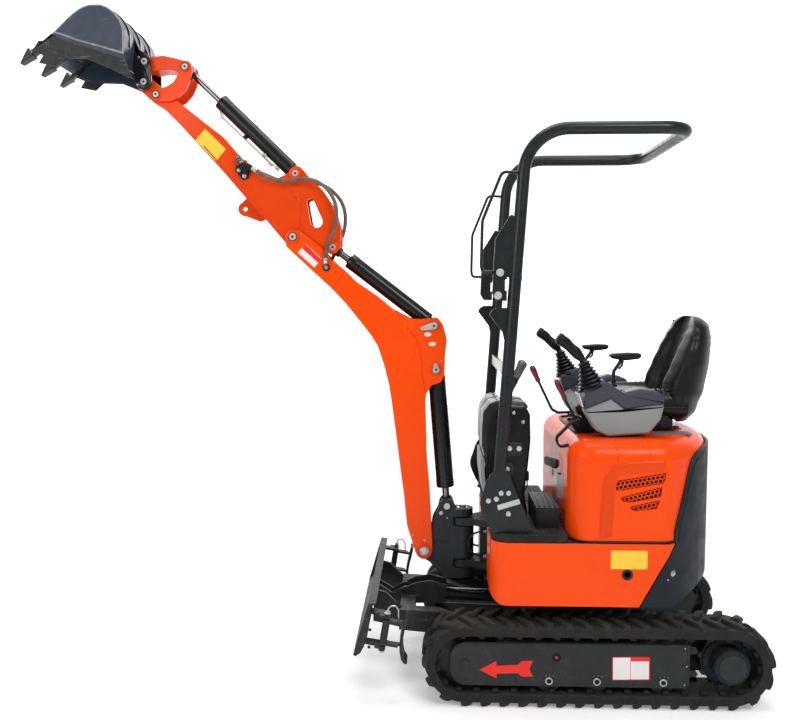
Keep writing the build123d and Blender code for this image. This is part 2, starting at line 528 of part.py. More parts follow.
hood = hood_body(0) - hood_body(6)
hood -= prof([(-286, 600), (-288, 690, 30), (-304, 750), (-322, 815), (-339, 880), (-353, 930, 14), (-377, 963, 20), (-420, 978, 20), (-520, 989), (-700, 992), (-700, 600)], -500, 500)
for sy in (1, -1):
    for pts in ([(-46, 874), (-57, 879), (-245, 911), (-235, 871), (-87, 844), (-48, 843)], [(-73, 815), (-230, 858), (-225, 820), (-118, 798), (-88, 800)], [(-109, 781), (-222, 807), (-211, 774), (-126, 764)]):
        hood -= prof([(p[0], p[1], 3) for p in pts], min(sy * 400, sy * 460), max(sy * 400, sy * 460))
save("engine_hood", hood)
save("engine", box(-330, -30, -140, 140, 640.5, 960))

# ---------------------------------------------------------------- floor mat, step, front console
mat = slab([(120, -436, 10), (404, -436, 66), (404, 436, 66), (120, 436, 10)], 640.5, 668)
save("floor_mat", mat)
save("step_box", box(138, 226, 60, 330, 668.5, 750))
console = prof([(238, 668.5), (398, 668.5, 10), (432, 850, 30), (424, 1060, 40), (392, 1148, 30), (250, 1158, 30), (226, 1090, 30), (222, 880, 40)], -165, 165)
save("front_console", console)

# ---------------------------------------------------------------- roll frame
def post_x(z):
    return 344.0 - 0.0696 * (z - 1311.0)


rl = None
for sy in (1, -1):
    y = sy * ROPS_Y
    t = cyl((post_x(674), y, 674), (post_x(1640), y, 1640), ROPS_R)
    ya, yb = (396, 406) if sy > 0 else (-406, -396)
    t += prof([(344, 909, 10), (332, 866), (302, 797), (262, 710, 10), (250, 668.5), (404, 668.5), (418, 700, 10), (446, 777, 14), (432, 835), (416, 881, 14), (386, 912, 12)], ya, yb)
    ya, yb = (374, 386) if sy > 0 else (-386, -374)
    t += prof([(330, 1527), (391, 1527, 5), (408, 1518, 5), (419, 1502, 10), (368, 1434, 8), (362, 1405), (330, 1405)], ya, yb)
    rl = t if rl is None else rl + t
rl += box(337, 350, -ROPS_Y, ROPS_Y, 1255, 1300)
save("rops_posts", rl)
xt, xb = post_x(ROPS_TOP), post_x(1640.5)
ru = tube([(xb, ROPS_Y, 1640.5), (xt, ROPS_Y, ROPS_TOP), (-326, ROPS_Y, ROPS_TOP), (-326, -ROPS_Y, ROPS_TOP),
           (xt, -ROPS_Y, ROPS_TOP), (xb, -ROPS_Y, 1640.5)], [170, 110, 110, 170], ROPS_R)
for sy in (1, -1):
    for ya, yb in ((387.0, 394.0), (366.0, 373.0)):
        a, b = (ya, yb) if sy > 0 else (-yb, -ya)
        ru += prof([(318, 1860, 10), (341, 1877, 8), (398, 1784, 6), (404, 1687), (408, 1580, 20), (392, 1553, 14), (354, 1553), (354, 1592), (361, 1592), (361, 1633), (354, 1633), (354, 1641), (326, 1642)], a, b)
save("rops_hoop", ru)

# ---------------------------------------------------------------- seat, consoles, levers
save("seat_cushion", prof([(-385, 1030, 10), (20, 1030, 10), (40, 1075, 20), (60, 1150, 30), (20, 1182, 30), (-330, 1165), (-392, 1170, 12)], -215, 215))
back = prof([(-396, 1172.5, 10), (-330, 1168.5, 20), (-270, 1250, 60), (-350, 1440, 60), (-400, 1492, 40), (-470, 1490, 40), (-524, 1440, 60), (-530, 1370, 60), (-500, 1190, 40), (-458, 1068, 10), (-392, 1062, 10)], -215, 215)
save("seat_back", back & cyl((-192, 0, 1000), (-192, 0, 1600), 332))
con = [(72, 1206, 10), (-26, 1252, 10), (-106, 1199, 14), (-165, 1214, 16), (-251, 1202, 24), (-256, 1156, 30), (-243, 1100, 20), (-200, 1044, 16), (-44, 1032, 14), (6, 1056, 20), (48, 1136, 10)]


def stick(y):
    s = Solid.make_cone(46, 22, 104, Plane(origin=(24, y, 1222), z_dir=(0.25, 0, 0.968)))
    s += cyl((50, y, 1318), (76, y, 1352), 10)
    s += cyl((72, y, 1340), (148, y, 1408), 18)
    return s - prof(con, -345, 345)


save("joysticks", [stick(300), stick(-300)])
ar = []
for sy in (1, -1):
    y = sy * 300
    s = prof(con, 245, 345) if sy > 0 else prof(con, -345, -245)
    s += box(-172, -50, y - 28, y + 28, 1325, 1349)
    s += cyl((-105, y, 1180), (-105, y, 1330), 8)
    ar.append(s)
save("consoles", ar)
tl = []
for y in (-55, -15, 25, 65):
    s = cyl((330, y, 1150.5), (262, y, 1282), 7) + cyl((270, y, 1266), (238, y, 1326), 14)
    s -= console
    tl.append(s)
lv = []
for pts, g0, g1 in (([(75, 200, 1030), (95, 200, 1134), (160, 180, 1146), (206, 180, 1250)], (206, 180, 1250), (230, 180, 1300)),
                    ([(60, 235, 1030), (80, 238, 1100), (122, 238, 1184)], (122, 238, 1184), (150, 238, 1246))):
    s = tube(pts, [20] * (len(pts) - 2), 6) + cyl(g0, g1, 11)
    lv.append(s)
save("levers", tl + lv)

# ---------------------------------------------------------------- auxiliary ports on the arm and their hoses
HOSE_R = 8.0
HOSE_L = [(1377, 62, 2098), (1325, 70, 2058), (1235, 74, 2040), (1150, 76, 2058), (1075, 76, 2028), (1026, 76, 1950),
          (1030, 76, 1860), (1066, 75, 1785), (1077, 74, 1725), (1075, 74, 1694)]
HOSE_R_SIDE = [(1377, -62, 2098), (1325, -70, 2056), (1235, -74, 2042), (1152, -76, 2062), (1075, -76, 2038), (1010, -76, 1966),
               (1004, -76, 1868), (1036, -75, 1786), (1068, -74, 1728), (1075, -74, 1694)]
SWING_HOSE = [(404.3, 72, 582), (446, 72, 582), (477, 73, 551), (477, 73, 507), (446, 72, 476), (404.3, 72, 476)]


def corner_radii(points):
    out = []
    for i in range(1, len(points) - 1):
        a, b, c = Vector(*points[i - 1]), Vector(*points[i]), Vector(*points[i + 1])
        turn = math.radians((b - a).get_angle(c - b))
        out.append(0.45 * min((b - a).length, (c - b).length) / math.tan(turn / 2))
    return out


def hose(name, points, r):
    radii = corner_radii(points)
    path = FilletPolyline(*points, radius=radii)
    start = path @ 0
    s = sweep(Plane(origin=start, z_dir=path % 0) * Circle(r), path=path)
    print(name, "length", round(path.length, 1), "radii", [round(x) for x in radii],
          "volume ratio", round(s.volume / (math.pi * r * r * path.length), 4))
    save(name, s)


ports = []
for sy in (1, -1):
    def yy(a, b):
        return (a, b) if sy > 0 else (-b, -a)
    q = prof([(1396, 2060, 6), (1420, 2052, 6), (1452, 2092, 6), (1446, 2112, 6), (1420, 2118, 6), (1392, 2086, 6)], *yy(45.3, 53))
    q += prof([(1386, 2092, 6), (1404, 2078, 6), (1432, 2096, 6), (1428, 2116, 6), (1404, 2120, 6), (1384, 2106, 6)], *yy(52, 74))
    q += cyl((1412, sy * 62, 2094), (1440, sy * 62, 2148), 11)
    h = HOSE_L if sy > 0 else HOSE_R_SIDE
    u = (Vector(*h[0]) - Vector(*h[1])).normalized()
    q += cyl(tuple(Vector(*h[0]) + u * 0.3), tuple(Vector(*h[0]) + u * 22), 9.5)
    ports.append(q)
save("aux_ports", ports)
hose("aux_hose_left", HOSE_L, HOSE_R)
hose("aux_hose_right", HOSE_R_SIDE, HOSE_R)
hose("swing_hose_left", SWING_HOSE, 4.5)
hose("swing_hose_right", [(p[0], -p[1], p[2]) for p in SWING_HOSE], 4.5)
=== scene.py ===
import bpy, bmesh, math, random
import numpy as np
from mathutils import Vector, Matrix, noise


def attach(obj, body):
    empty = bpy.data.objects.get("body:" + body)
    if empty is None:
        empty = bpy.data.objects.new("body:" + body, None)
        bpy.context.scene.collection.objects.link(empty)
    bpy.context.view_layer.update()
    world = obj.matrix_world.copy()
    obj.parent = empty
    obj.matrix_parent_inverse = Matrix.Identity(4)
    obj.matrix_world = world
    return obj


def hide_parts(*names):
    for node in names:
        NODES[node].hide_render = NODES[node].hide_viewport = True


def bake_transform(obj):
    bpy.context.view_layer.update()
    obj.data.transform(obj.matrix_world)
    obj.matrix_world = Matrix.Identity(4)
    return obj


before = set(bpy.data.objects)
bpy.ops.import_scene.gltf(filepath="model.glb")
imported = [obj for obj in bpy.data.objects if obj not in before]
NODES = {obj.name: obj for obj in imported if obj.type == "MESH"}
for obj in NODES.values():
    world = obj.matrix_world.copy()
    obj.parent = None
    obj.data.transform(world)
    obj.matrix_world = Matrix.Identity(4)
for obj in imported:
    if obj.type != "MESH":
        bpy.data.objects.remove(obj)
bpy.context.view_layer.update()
MM = 0.001
random.seed(7)

# ------------------------------------------------------------------ camera, floor, light
scene = bpy.context.scene
cam_data = bpy.data.cameras.new("camera")
cam_data.lens = 38.25
cam_data.sensor_width = 36.0
cam = bpy.data.objects.new("camera", cam_data)
scene.collection.objects.link(cam)
YAW, PITCH = math.radians(2.0), math.radians(4.23875)
VIEW_DIR = Vector((math.sin(YAW) * math.cos(PITCH), -math.cos(YAW) * math.cos(PITCH), -math.sin(PITCH)))
cam.location = (0.64307, 3.60316, 1.56766)
cam.rotation_mode = "QUATERNION"
cam.rotation_quaternion = VIEW_DIR.to_track_quat("-Z", "Y")
cam_data.clip_start, cam_data.clip_end = 0.05, 60.0
scene.camera = cam
scene.view_settings.view_transform = "Standard"
scene.view_settings.look = "None"
scene.view_settings.exposure = 0.0

world = bpy.data.worlds.new("studio")
scene.world = world
world.use_nodes = True
bg = world.node_tree.nodes["Background"]
bg.inputs["Color"].default_value = (1.0, 1.0, 1.0, 1)
bg.inputs["Strength"].default_value = 0.34


def area(name, loc, target, size, power, sy=None):
    d = bpy.data.lights.new(name, "AREA")
    d.energy = power
    d.shape = "RECTANGLE"
    d.size, d.size_y = size, sy or size
    o = bpy.data.objects.new(name, d)
    o.location = loc
    o.rotation_mode = "QUATERNION"
    o.rotation_quaternion = (Vector(target) - Vector(loc)).to_track_quat("-Z", "Y")
    scene.collection.objects.link(o)
    return o


area("key", (-1.6, 3.6, 4.2), (0.3, 0, 1.0), 1.8, 105)
area("fill", (3.6, 3.2, 2.6), (0.8, 0, 1.2), 2.4, 58)
area("top", (0.4, 0.2, 5.2), (0.4, 0, 0), 2.6, 95)
area("back", (0.2, -4.2, 3.2), (0.3, 0, 1.0), 2.4, 30)


# ------------------------------------------------------------------ materials
def new_mat(name):
    m = bpy.data.materials.new(name)
    m.use_nodes = True
    nt = m.node_tree
    nt.nodes.clear()
    out = nt.nodes.new("ShaderNodeOutputMaterial")
    b = nt.nodes.new("ShaderNodeBsdfPrincipled")
    nt.links.new(b.outputs[0], out.inputs[0])
    return m, nt, b


def tc(nt):
    for n in nt.nodes:
        if n.type == "TEX_COORD":
            return n.outputs["Object"]
    return nt.nodes.new("ShaderNodeTexCoord").outputs["Object"]


def mapped(nt, scale=(1, 1, 1), rot=(0, 0, 0)):
    mp = nt.nodes.new("ShaderNodeMapping")
    mp.inputs["Scale"].default_value = scale
    mp.inputs["Rotation"].default_value = rot
    nt.links.new(tc(nt), mp.inputs["Vector"])
    return mp.outputs[0]


def noise_tex(nt, scale, detail=4.0, rough=0.55, vec=None, dist=0.0):
    n = nt.nodes.new("ShaderNodeTexNoise")
    n.inputs["Scale"].default_value = scale
    n.inputs["Detail"].default_value = detail
    n.inputs["Roughness"].default_value = rough
    n.inputs["Distortion"].default_value = dist
    nt.links.new(vec if vec is not None else tc(nt), n.inputs["Vector"])
    return n.outputs["Fac"]


def ramp(nt, src, stops):
    r = nt.nodes.new("ShaderNodeValToRGB")
    els = r.color_ramp.elements
    while len(els) > 1:
        els.remove(els[-1])
    els[0].position = stops[0][0]
    v = stops[0][1]
    els[0].color = (*v, 1) if hasattr(v, "__len__") else (v, v, v, 1)
    for p, v in stops[1:]:
        e = els.new(p)
        e.color = (*v, 1) if hasattr(v, "__len__") else (v, v, v, 1)
    nt.links.new(src, r.inputs["Fac"])
    return r.outputs["Color"]


def mix(nt, fac, a, b, mode="MIX"):
    m = nt.nodes.new("ShaderNodeMix")
    m.data_type = "RGBA"
    m.blend_type = mode
    if hasattr(fac, "node"):
        nt.links.new(fac, m.inputs["Factor"])
    else:
        m.inputs["Factor"].default_value = fac
    for v, k in ((a, "A"), (b, "B")):
        sock = [s for s in m.inputs if s.name == k and s.type == "RGBA"][0]
        if hasattr(v, "node"):
            nt.links.new(v, sock)
        else:
            sock.default_value = (*v[:3], 1)
    return [s for s in m.outputs if s.type == "RGBA"][0]


def math_n(nt, op, a, b=None, clamp=False):
    m = nt.nodes.new("ShaderNodeMath")
    m.operation = op
    m.use_clamp = clamp
    for i, v in enumerate((a, b)):
        if v is None:
            continue
        if hasattr(v, "node"):
            nt.links.new(v, m.inputs[i])
        else:
            m.inputs[i].default_value = v
    return m.outputs[0]


def bump_n(nt, height, strength, dist=0.001, normal=None):
    b = nt.nodes.new("ShaderNodeBump")
    b.inputs["Strength"].default_value = strength
    b.inputs["Distance"].default_value = dist
    nt.links.new(height, b.inputs["Height"])
    if normal is not None:
        nt.links.new(normal, b.inputs["Normal"])
    return b.outputs[0]


def edge_round(nt, r):
    b = nt.nodes.new("ShaderNodeBevel")
    b.samples = 4
    b.inputs["Radius"].default_value = r
    return b.outputs[0]


def edge_mask(nt, r, lo, hi):
    b = nt.nodes.new("ShaderNodeBevel")
    b.samples = 4
    b.inputs["Radius"].default_value = r
    g = nt.nodes.new("ShaderNodeNewGeometry")
    d = nt.nodes.new("ShaderNodeVectorMath")
    d.operation = "DOT_PRODUCT"
    nt.links.new(b.outputs[0], d.inputs[0])
    nt.links.new(g.outputs["Normal"], d.inputs[1])
    inv = math_n(nt, "SUBTRACT", 1.0, d.outputs["Value"])
    mr = nt.nodes.new("ShaderNodeMapRange")
    mr.inputs["From Min"].default_value = lo
    mr.inputs["From Max"].default_value = hi
    nt.links.new(inv, mr.inputs["Value"])
    return mr.outputs[0]


def up_mask(nt, lo=0.5, hi=0.95):
    g = nt.nodes.new("ShaderNodeNewGeometry")
    s = nt.nodes.new("ShaderNodeSeparateXYZ")
    nt.links.new(g.outputs["Normal"], s.inputs[0])
    mr = nt.nodes.new("ShaderNodeMapRange")
    mr.inputs["From Min"].default_value = lo
    mr.inputs["From Max"].default_value = hi
    nt.links.new(s.outputs["Z"], mr.inputs["Value"])
    return mr.outputs[0]


def finish_mat(name, col, rough=0.4, metal=0.0, coat=0.0, var=0.12, vscale=4.0, bump=0.2, bscale=300.0, bdist=0.0004, edge=0.0015,
               wear=0.0, wear_col=(0.35, 0.35, 0.34), dust=0.0, dust_col=(0.22, 0.19, 0.15), dirt=0.0, dirt_col=(0.1, 0.085, 0.06),
               rvar=0.12, spec=0.26, scratch=0.0, scratch_col=(0.4, 0.42, 0.45), cast=0.0, sheen=0.0):
    m, nt, b = new_mat(name)
    dark = tuple(c * (1 - var) for c in col)
    light = tuple(min(1.0, c * (1 + var) + 0.01 * var) for c in col)
    c = ramp(nt, noise_tex(nt, vscale, 5), [(0.3, dark), (0.72, light)])
    r = ramp(nt, noise_tex(nt, vscale * 6, 4), [(0.3, max(0.02, rough - rvar)), (0.75, min(1, rough + rvar))])
    if wear > 0:
        em = edge_mask(nt, 0.003, 0.06, 0.30)
        wn = ramp(nt, noise_tex(nt, 38, 6, 0.7), [(0.48 - 0.1 * wear, 0.0), (0.62, 1.0)])
        wm = math_n(nt, "MULTIPLY", math_n(nt, "MULTIPLY", em, wn), wear, clamp=True)
        c = mix(nt, wm, c, wear_col)
    if scratch > 0:
        s1 = noise_tex(nt, 1.0, 3, 0.6, mapped(nt, (9, 9, 160), (0.5, 0.9, 0.3)))
        s2 = noise_tex(nt, 1.0, 3, 0.6, mapped(nt, (150, 12, 9), (0.2, 0.6, 0.9)))
        sm = math_n(nt, "MAXIMUM", ramp(nt, s1, [(0.64, 0.0), (0.70, 1.0)]), ramp(nt, s2, [(0.66, 0.0), (0.72, 1.0)]))
        patch = ramp(nt, noise_tex(nt, 9, 3), [(0.45, 0.0), (0.65, 1.0)])
        sm = math_n(nt, "MULTIPLY", math_n(nt, "MULTIPLY", sm, patch), scratch, clamp=True)
        c = mix(nt, sm, c, scratch_col)
    if dust > 0:
        dm = math_n(nt, "MULTIPLY", up_mask(nt), ramp(nt, noise_tex(nt, 16, 6, 0.65), [(0.35, 0.25), (0.7, 1.0)]))
        dm = math_n(nt, "MULTIPLY", dm, dust, clamp=True)
        c = mix(nt, dm, c, dust_col)
        r = mix(nt, dm, r, (0.85, 0.85, 0.85))
    if dirt > 0:
        tm = ramp(nt, noise_tex(nt, 22, 7, 0.7, dist=0.4), [(0.52, 0.0), (0.68, 1.0)])
        tm = math_n(nt, "MULTIPLY", tm, dirt, clamp=True)
        c = mix(nt, tm, c, dirt_col)
        r = mix(nt, tm, r, (0.9, 0.9, 0.9))
    nt.links.new(c, b.inputs["Base Color"])
    nt.links.new(r, b.inputs["Roughness"])
    b.inputs["Metallic"].default_value = metal
    b.inputs["Coat Weight"].default_value = coat * 0.6
    b.inputs["Coat Roughness"].default_value = 0.12
    b.inputs["Specular IOR Level"].default_value = spec
    if sheen:
        b.inputs["Sheen Weight"].default_value = sheen
        b.inputs["Sheen Roughness"].default_value = 0.5
    nrm = edge_round(nt, edge) if edge else None
    if cast > 0:
        nrm = bump_n(nt, noise_tex(nt, 120, 5, 0.7), cast, 0.0009, nrm)
    if bump > 0:
        nrm = bump_n(nt, noise_tex(nt, bscale, 3, 0.5), bump, bdist, nrm)
    if nrm is not None:
        nt.links.new(nrm, b.inputs["Normal"])
    return m


MAT = {}
MAT["orange"] = finish_mat("orange_paint", (0.88, 0.066, 0.0008), 0.30, coat=0.22, spec=0.10, var=0.05, vscale=2.0, bump=0.10, bscale=160, bdist=0.0005, edge=0.0025, rvar=0.07,
                           wear=0.25, wear_col=(0.35, 0.06, 0.01))
MAT["orange_arm"] = finish_mat("orange_arm", (0.72, 0.053, 0.0012), 0.32, coat=0.22, spec=0.10, var=0.07, vscale=2.4, bump=0.12, bscale=150, bdist=0.0005, edge=0.0025, rvar=0.07,
                               wear=0.3, wear_col=(0.28, 0.045, 0.01))
MAT["orange_cast"] = finish_mat("orange_cast", (0.78, 0.052, 0.0015), 0.33, coat=0.25, spec=0.12, var=0.10, vscale=8, bump=0.18, bscale=90, bdist=0.0008, edge=0.004, rvar=0.08, cast=0.35,
                                wear=0.35, wear_col=(0.22, 0.05, 0.02))
MAT["slate"] = finish_mat("slate_paint", (0.016, 0.020, 0.025), 0.50, coat=0.0, spec=0.10, var=0.14, vscale=3, bump=0.25, bscale=220, bdist=0.0004, edge=0.003, wear=0.35, wear_col=(0.10, 0.105, 0.115), dust=0.15, dust_col=(0.05, 0.05, 0.045))
MAT["frame"] = finish_mat("frame_paint", (0.0125, 0.0165, 0.0165), 0.45, coat=0.08, var=0.18, vscale=5, bump=0.25, bscale=260, edge=0.002, wear=0.5, wear_col=(0.085, 0.085, 0.08), dust=0.4, dust_col=(0.06, 0.055, 0.045), dirt=0.12)
MAT["tube"] = finish_mat("tube_paint", (0.0095, 0.013, 0.0145), 0.36, coat=0.15, var=0.10, vscale=5, bump=0.18, bscale=320, edge=0.0015, wear=0.4, wear_col=(0.08, 0.085, 0.085))
MAT["post"] = finish_mat("cast_post", (0.017, 0.021, 0.024), 0.50, coat=0.05, var=0.22, vscale=7, bump=0.3, bscale=180, edge=0.005, cast=0.6, wear=0.4, wear_col=(0.12, 0.12, 0.12), dust=0.3, dust_col=(0.09, 0.085, 0.075))
MAT["blade"] = finish_mat("blade_paint", (0.014, 0.0155, 0.015), 0.48, coat=0.05, var=0.22, vscale=7, bump=0.3, bscale=200, edge=0.002, wear=0.9, wear_col=(0.10, 0.10, 0.09), dust=0.35, dust_col=(0.06, 0.055, 0.045), dirt=0.25, scratch=0.5)
MAT["bucket"] = finish_mat("bucket_paint", (0.026, 0.038, 0.060), 0.36, coat=0.2, spec=0.2, var=0.20, vscale=6, bump=0.2, bscale=200, edge=0.002, wear=1.0, wear_col=(0.30, 0.31, 0.33), scratch=0.55, scratch_col=(0.16, 0.18, 0.21))
MAT["bucket_black"] = finish_mat("bucket_black", (0.006, 0.0065, 0.008), 0.22, coat=0.5, var=0.2, vscale=8, bump=0.15, bscale=160, edge=0.003, wear=0.6, wear_col=(0.22, 0.22, 0.22))
MAT["tooth"] = finish_mat("tooth_cast", (0.012, 0.0145, 0.0145), 0.40, metal=0.1, coat=0.1, var=0.25, vscale=20, bump=0.3, bscale=200, cast=0.5, edge=0.003, wear=0.8, wear_col=(0.2, 0.21, 0.2))
MAT["black"] = finish_mat("black_paint", (0.0050, 0.0058, 0.0066), 0.27, coat=0.25, spec=0.24, var=0.25, vscale=6, bump=0.08, bscale=160, edge=0.002, rvar=0.06)
MAT["chrome"] = finish_mat("chrome_rod", (0.20, 0.20, 0.205), 0.13, metal=1.0, var=0.05, bump=0.05, bscale=400, edge=0.0, rvar=0.05)
MAT["zinc"] = finish_mat("zinc_bolt", (0.46, 0.47, 0.47), 0.30, metal=0.75, var=0.18, vscale=60, bump=0.15, bscale=500, edge=0.0012, rvar=0.1)
MAT["pinhead"] = finish_mat("pin_head", (0.50, 0.50, 0.485), 0.35, metal=0.35, var=0.12, vscale=60, bump=0.15, bscale=500, edge=0.0012, rvar=0.1)
MAT["steel"] = finish_mat("bare_steel", (0.20, 0.20, 0.205), 0.38, metal=0.9, var=0.25, vscale=20, bump=0.2, bscale=300, edge=0.0015, dirt=0.35)
MAT["rubber"] = finish_mat("track_rubber", (0.010, 0.0098, 0.009), 0.72, var=0.3, vscale=9, bump=0.5, bscale=130, bdist=0.0010, edge=0.003, dirt=0.55, dirt_col=(0.034, 0.030, 0.023), wear=0.7, wear_col=(0.045, 0.041, 0.033), dust=0.7, dust_col=(0.060, 0.054, 0.042))
MAT["lug"] = finish_mat("lug_rubber", (0.014, 0.0135, 0.012), 0.74, var=0.3, vscale=14, bump=0.6, bscale=110, bdist=0.0012, edge=0.003, dirt=0.6, dirt_col=(0.045, 0.040, 0.031), wear=0.8, wear_col=(0.085, 0.080, 0.066), dust=0.55, dust_col=(0.075, 0.068, 0.053))
MAT["plastic"] = finish_mat("black_plastic", (0.0085, 0.0092, 0.0100), 0.48, var=0.15, vscale=10, bump=0.35, bscale=700, bdist=0.0003, edge=0.002, dust=0.3, dust_col=(0.05, 0.05, 0.048))
MAT["plastic_gloss"] = finish_mat("gloss_plastic", (0.0055, 0.0062, 0.0072), 0.30, coat=0.12, spec=0.18, var=0.15, vscale=12, bump=0.08, bscale=500, edge=0.002)
MAT["mat"] = finish_mat("floor_mat_rubber", (0.008, 0.008, 0.0078), 0.62, var=0.2, vscale=8, bump=0.4, bscale=420, edge=0.002, dirt=0.35, dirt_col=(0.06, 0.055, 0.045), dust=0.5, dust_col=(0.05, 0.048, 0.042))
MAT["con_dark"] = finish_mat("console_slate", (0.044, 0.047, 0.062), 0.48, var=0.06, vscale=6, bump=0.4, bscale=800, bdist=0.0003, edge=0.0025)
MAT["con_light"] = finish_mat("console_grey", (0.225, 0.242, 0.240), 0.50, var=0.05, vscale=6, bump=0.4, bscale=800, bdist=0.0003, edge=0.0025)
MAT["pad_grey"] = finish_mat("pad_grey", (0.13, 0.135, 0.132), 0.45, var=0.12, vscale=5, bump=0.3, bscale=500, edge=0.004, dust=0.1)
MAT["white"] = finish_mat("white_plate", (0.72, 0.72, 0.71), 0.45, var=0.05, bump=0.1, bscale=500, edge=0.0008)
MAT["silver"] = finish_mat("silver_label", (0.50, 0.49, 0.47), 0.40, metal=0.3, var=0.12, vscale=30, bump=0.1, bscale=500, edge=0.0008)
MAT["yellow"] = finish_mat("yellow_label", (0.86, 0.55, 0.045), 0.38, var=0.04, vscale=20, bump=0.08, bscale=500, edge=0.0006)
MAT["red"] = finish_mat("red_mark", (0.78, 0.022, 0.016), 0.38, var=0.05, vscale=20, bump=0.08, bscale=500, edge=0.0006)
MAT["grip"] = finish_mat("dark_red_grip", (0.17, 0.006, 0.018), 0.16, coat=0.5, var=0.12, vscale=20, bump=0.06, bscale=300, edge=0.002)
MAT["hose"] = finish_mat("hose_sleeve", (0.115, 0.100, 0.088), 0.50, var=0.3, vscale=40, bump=0.6, bscale=500, bdist=0.0005, edge=0.0)
MAT["hose_black"] = finish_mat("hose_black", (0.012, 0.012, 0.012), 0.42, var=0.2, vscale=30, bump=0.3, bscale=500, edge=0.0)
MAT["seal"] = finish_mat("rubber_seal", (0.013, 0.013, 0.014), 0.45, var=0.15, vscale=20, bump=0.3, bscale=400, edge=0.002)
MAT["dark"] = finish_mat("deep_black", (0.004, 0.004, 0.0045), 0.7, var=0.2, bump=0.2, edge=0.0)
MAT["weld"] = finish_mat("weld_grey", (0.24, 0.25, 0.26), 0.42, metal=0.2, var=0.35, vscale=60, bump=0.8, bscale=220, bdist=0.0012, edge=0.0)


def vinyl():
    m, nt, b = new_mat("seat_vinyl")
    c = ramp(nt, noise_tex(nt, 5, 4), [(0.3, (0.0035, 0.0042, 0.0042)), (0.75, (0.0062, 0.0072, 0.0074))])
    nt.links.new(c, b.inputs["Base Color"])
    r = ramp(nt, noise_tex(nt, 30, 4), [(0.3, 0.34), (0.75, 0.46)])
    nt.links.new(r, b.inputs["Roughness"])
    b.inputs["Coat Weight"].default_value = 0.08
    b.inputs["Specular IOR Level"].default_value = 0.20
    v = nt.nodes.new("ShaderNodeTexVoronoi")
    v.feature = "DISTANCE_TO_EDGE"
    v.inputs["Scale"].default_value = 420
    nt.links.new(tc(nt), v.inputs["Vector"])
    g = ramp(nt, v.outputs["Distance"], [(0.0, 0.0), (0.12, 1.0)])
    n1 = bump_n(nt, g, 0.25, 0.0004)
    n2 = bump_n(nt, noise_tex(nt, 22, 4, 0.6), 0.35, 0.0025, n1)
    nt.links.new(n2, b.inputs["Normal"])
    return m


MAT["vinyl"] = vinyl()


# ------------------------------------------------------------------ mesh helpers (millimetres in, metres out)
class Bag:
    """collects faces for one piece"""

    def __init__(self):
        self.v, self.f = [], []

    def add(self, verts, faces):
        k = len(self.v)
        self.v.extend([tuple(p) for p in verts])
        self.f.extend([tuple(i + k for i in f) for f in faces])
        return self

    def mirror_y(self):
        k = len(self.v)
        self.v.extend([(x, -y, z) for x, y, z in self.v[:k]])
        self.f.extend([tuple(i + k for i in reversed(f)) for f in self.f[:]])
        return self

    def turn(self, m):
        self.v = [tuple(m @ Vector(p)) for p in self.v]
        return self


def offset_poly(pts, d):
    """inward offset of a closed 2-D outline by mitred corners"""
    n = len(pts)
    a = sum(pts[i][0] * pts[(i + 1) % n][1] - pts[(i + 1) % n][0] * pts[i][1] for i in range(n))
    sgn = 1.0 if a > 0 else -1.0
    out = []
    for i in range(n):
        p0, p1, p2 = Vector(pts[i - 1][:2]), Vector(pts[i][:2]), Vector(pts[(i + 1) % n][:2])
        e1, e2 = (p1 - p0), (p2 - p1)
        if e1.length < 1e-6 or e2.length < 1e-6:
            out.append(tuple(p1))
            continue
        e1.normalize()
        e2.normalize()
        n1, n2 = Vector((-e1.y, e1.x)) * sgn, Vector((-e2.y, e2.x)) * sgn
        m = n1 + n2
        if m.length < 1e-4:
            out.append(tuple(p1 + n1 * d))
            continue
        m.normalize()
        k = d / max(0.35, m.dot(n1))
        out.append((p1.x + m.x * k, p1.y + m.y * k))
    return out


def round_poly(pts, r, seg=5):
    """rounds the corners of a closed outline; a third number in a point is its own radius"""
    n = len(pts)
    out = []
    for i in range(n):
        p0, p1, p2 = Vector(pts[i - 1][:2]), Vector(pts[i][:2]), Vector(pts[(i + 1) % n][:2])
        rr = pts[i][2] if len(pts[i]) > 2 else r
        a, b = p0 - p1, p2 - p1
        la, lb = a.length, b.length
        if rr <= 0 or la < 1e-6 or lb < 1e-6:
            out.append(tuple(p1))
            continue
        a.normalize()
        b.normalize()
        c = max(-0.9999, min(0.9999, a.dot(b)))
        half = math.acos(c) / 2
        t = min(rr / math.tan(half), 0.48 * la, 0.48 * lb)
        r2 = t * math.tan(half)
        m = (a + b)
        if m.length < 1e-4:
            out.append(tuple(p1))
            continue
        m.normalize()
        cen = p1 + m * (r2 / math.sin(half))
        s, e = p1 + a * t, p1 + b * t
        a0, a1 = math.atan2(s.y - cen.y, s.x - cen.x), math.atan2(e.y - cen.y, e.x - cen.x)
        d = a1 - a0
        while d > math.pi:
            d -= 2 * math.pi
        while d < -math.pi:
            d += 2 * math.pi
        for k in range(seg + 1):
            ang = a0 + d * k / seg
            out.append((cen.x + r2 * math.cos(ang), cen.y + r2 * math.sin(ang)))
    return out


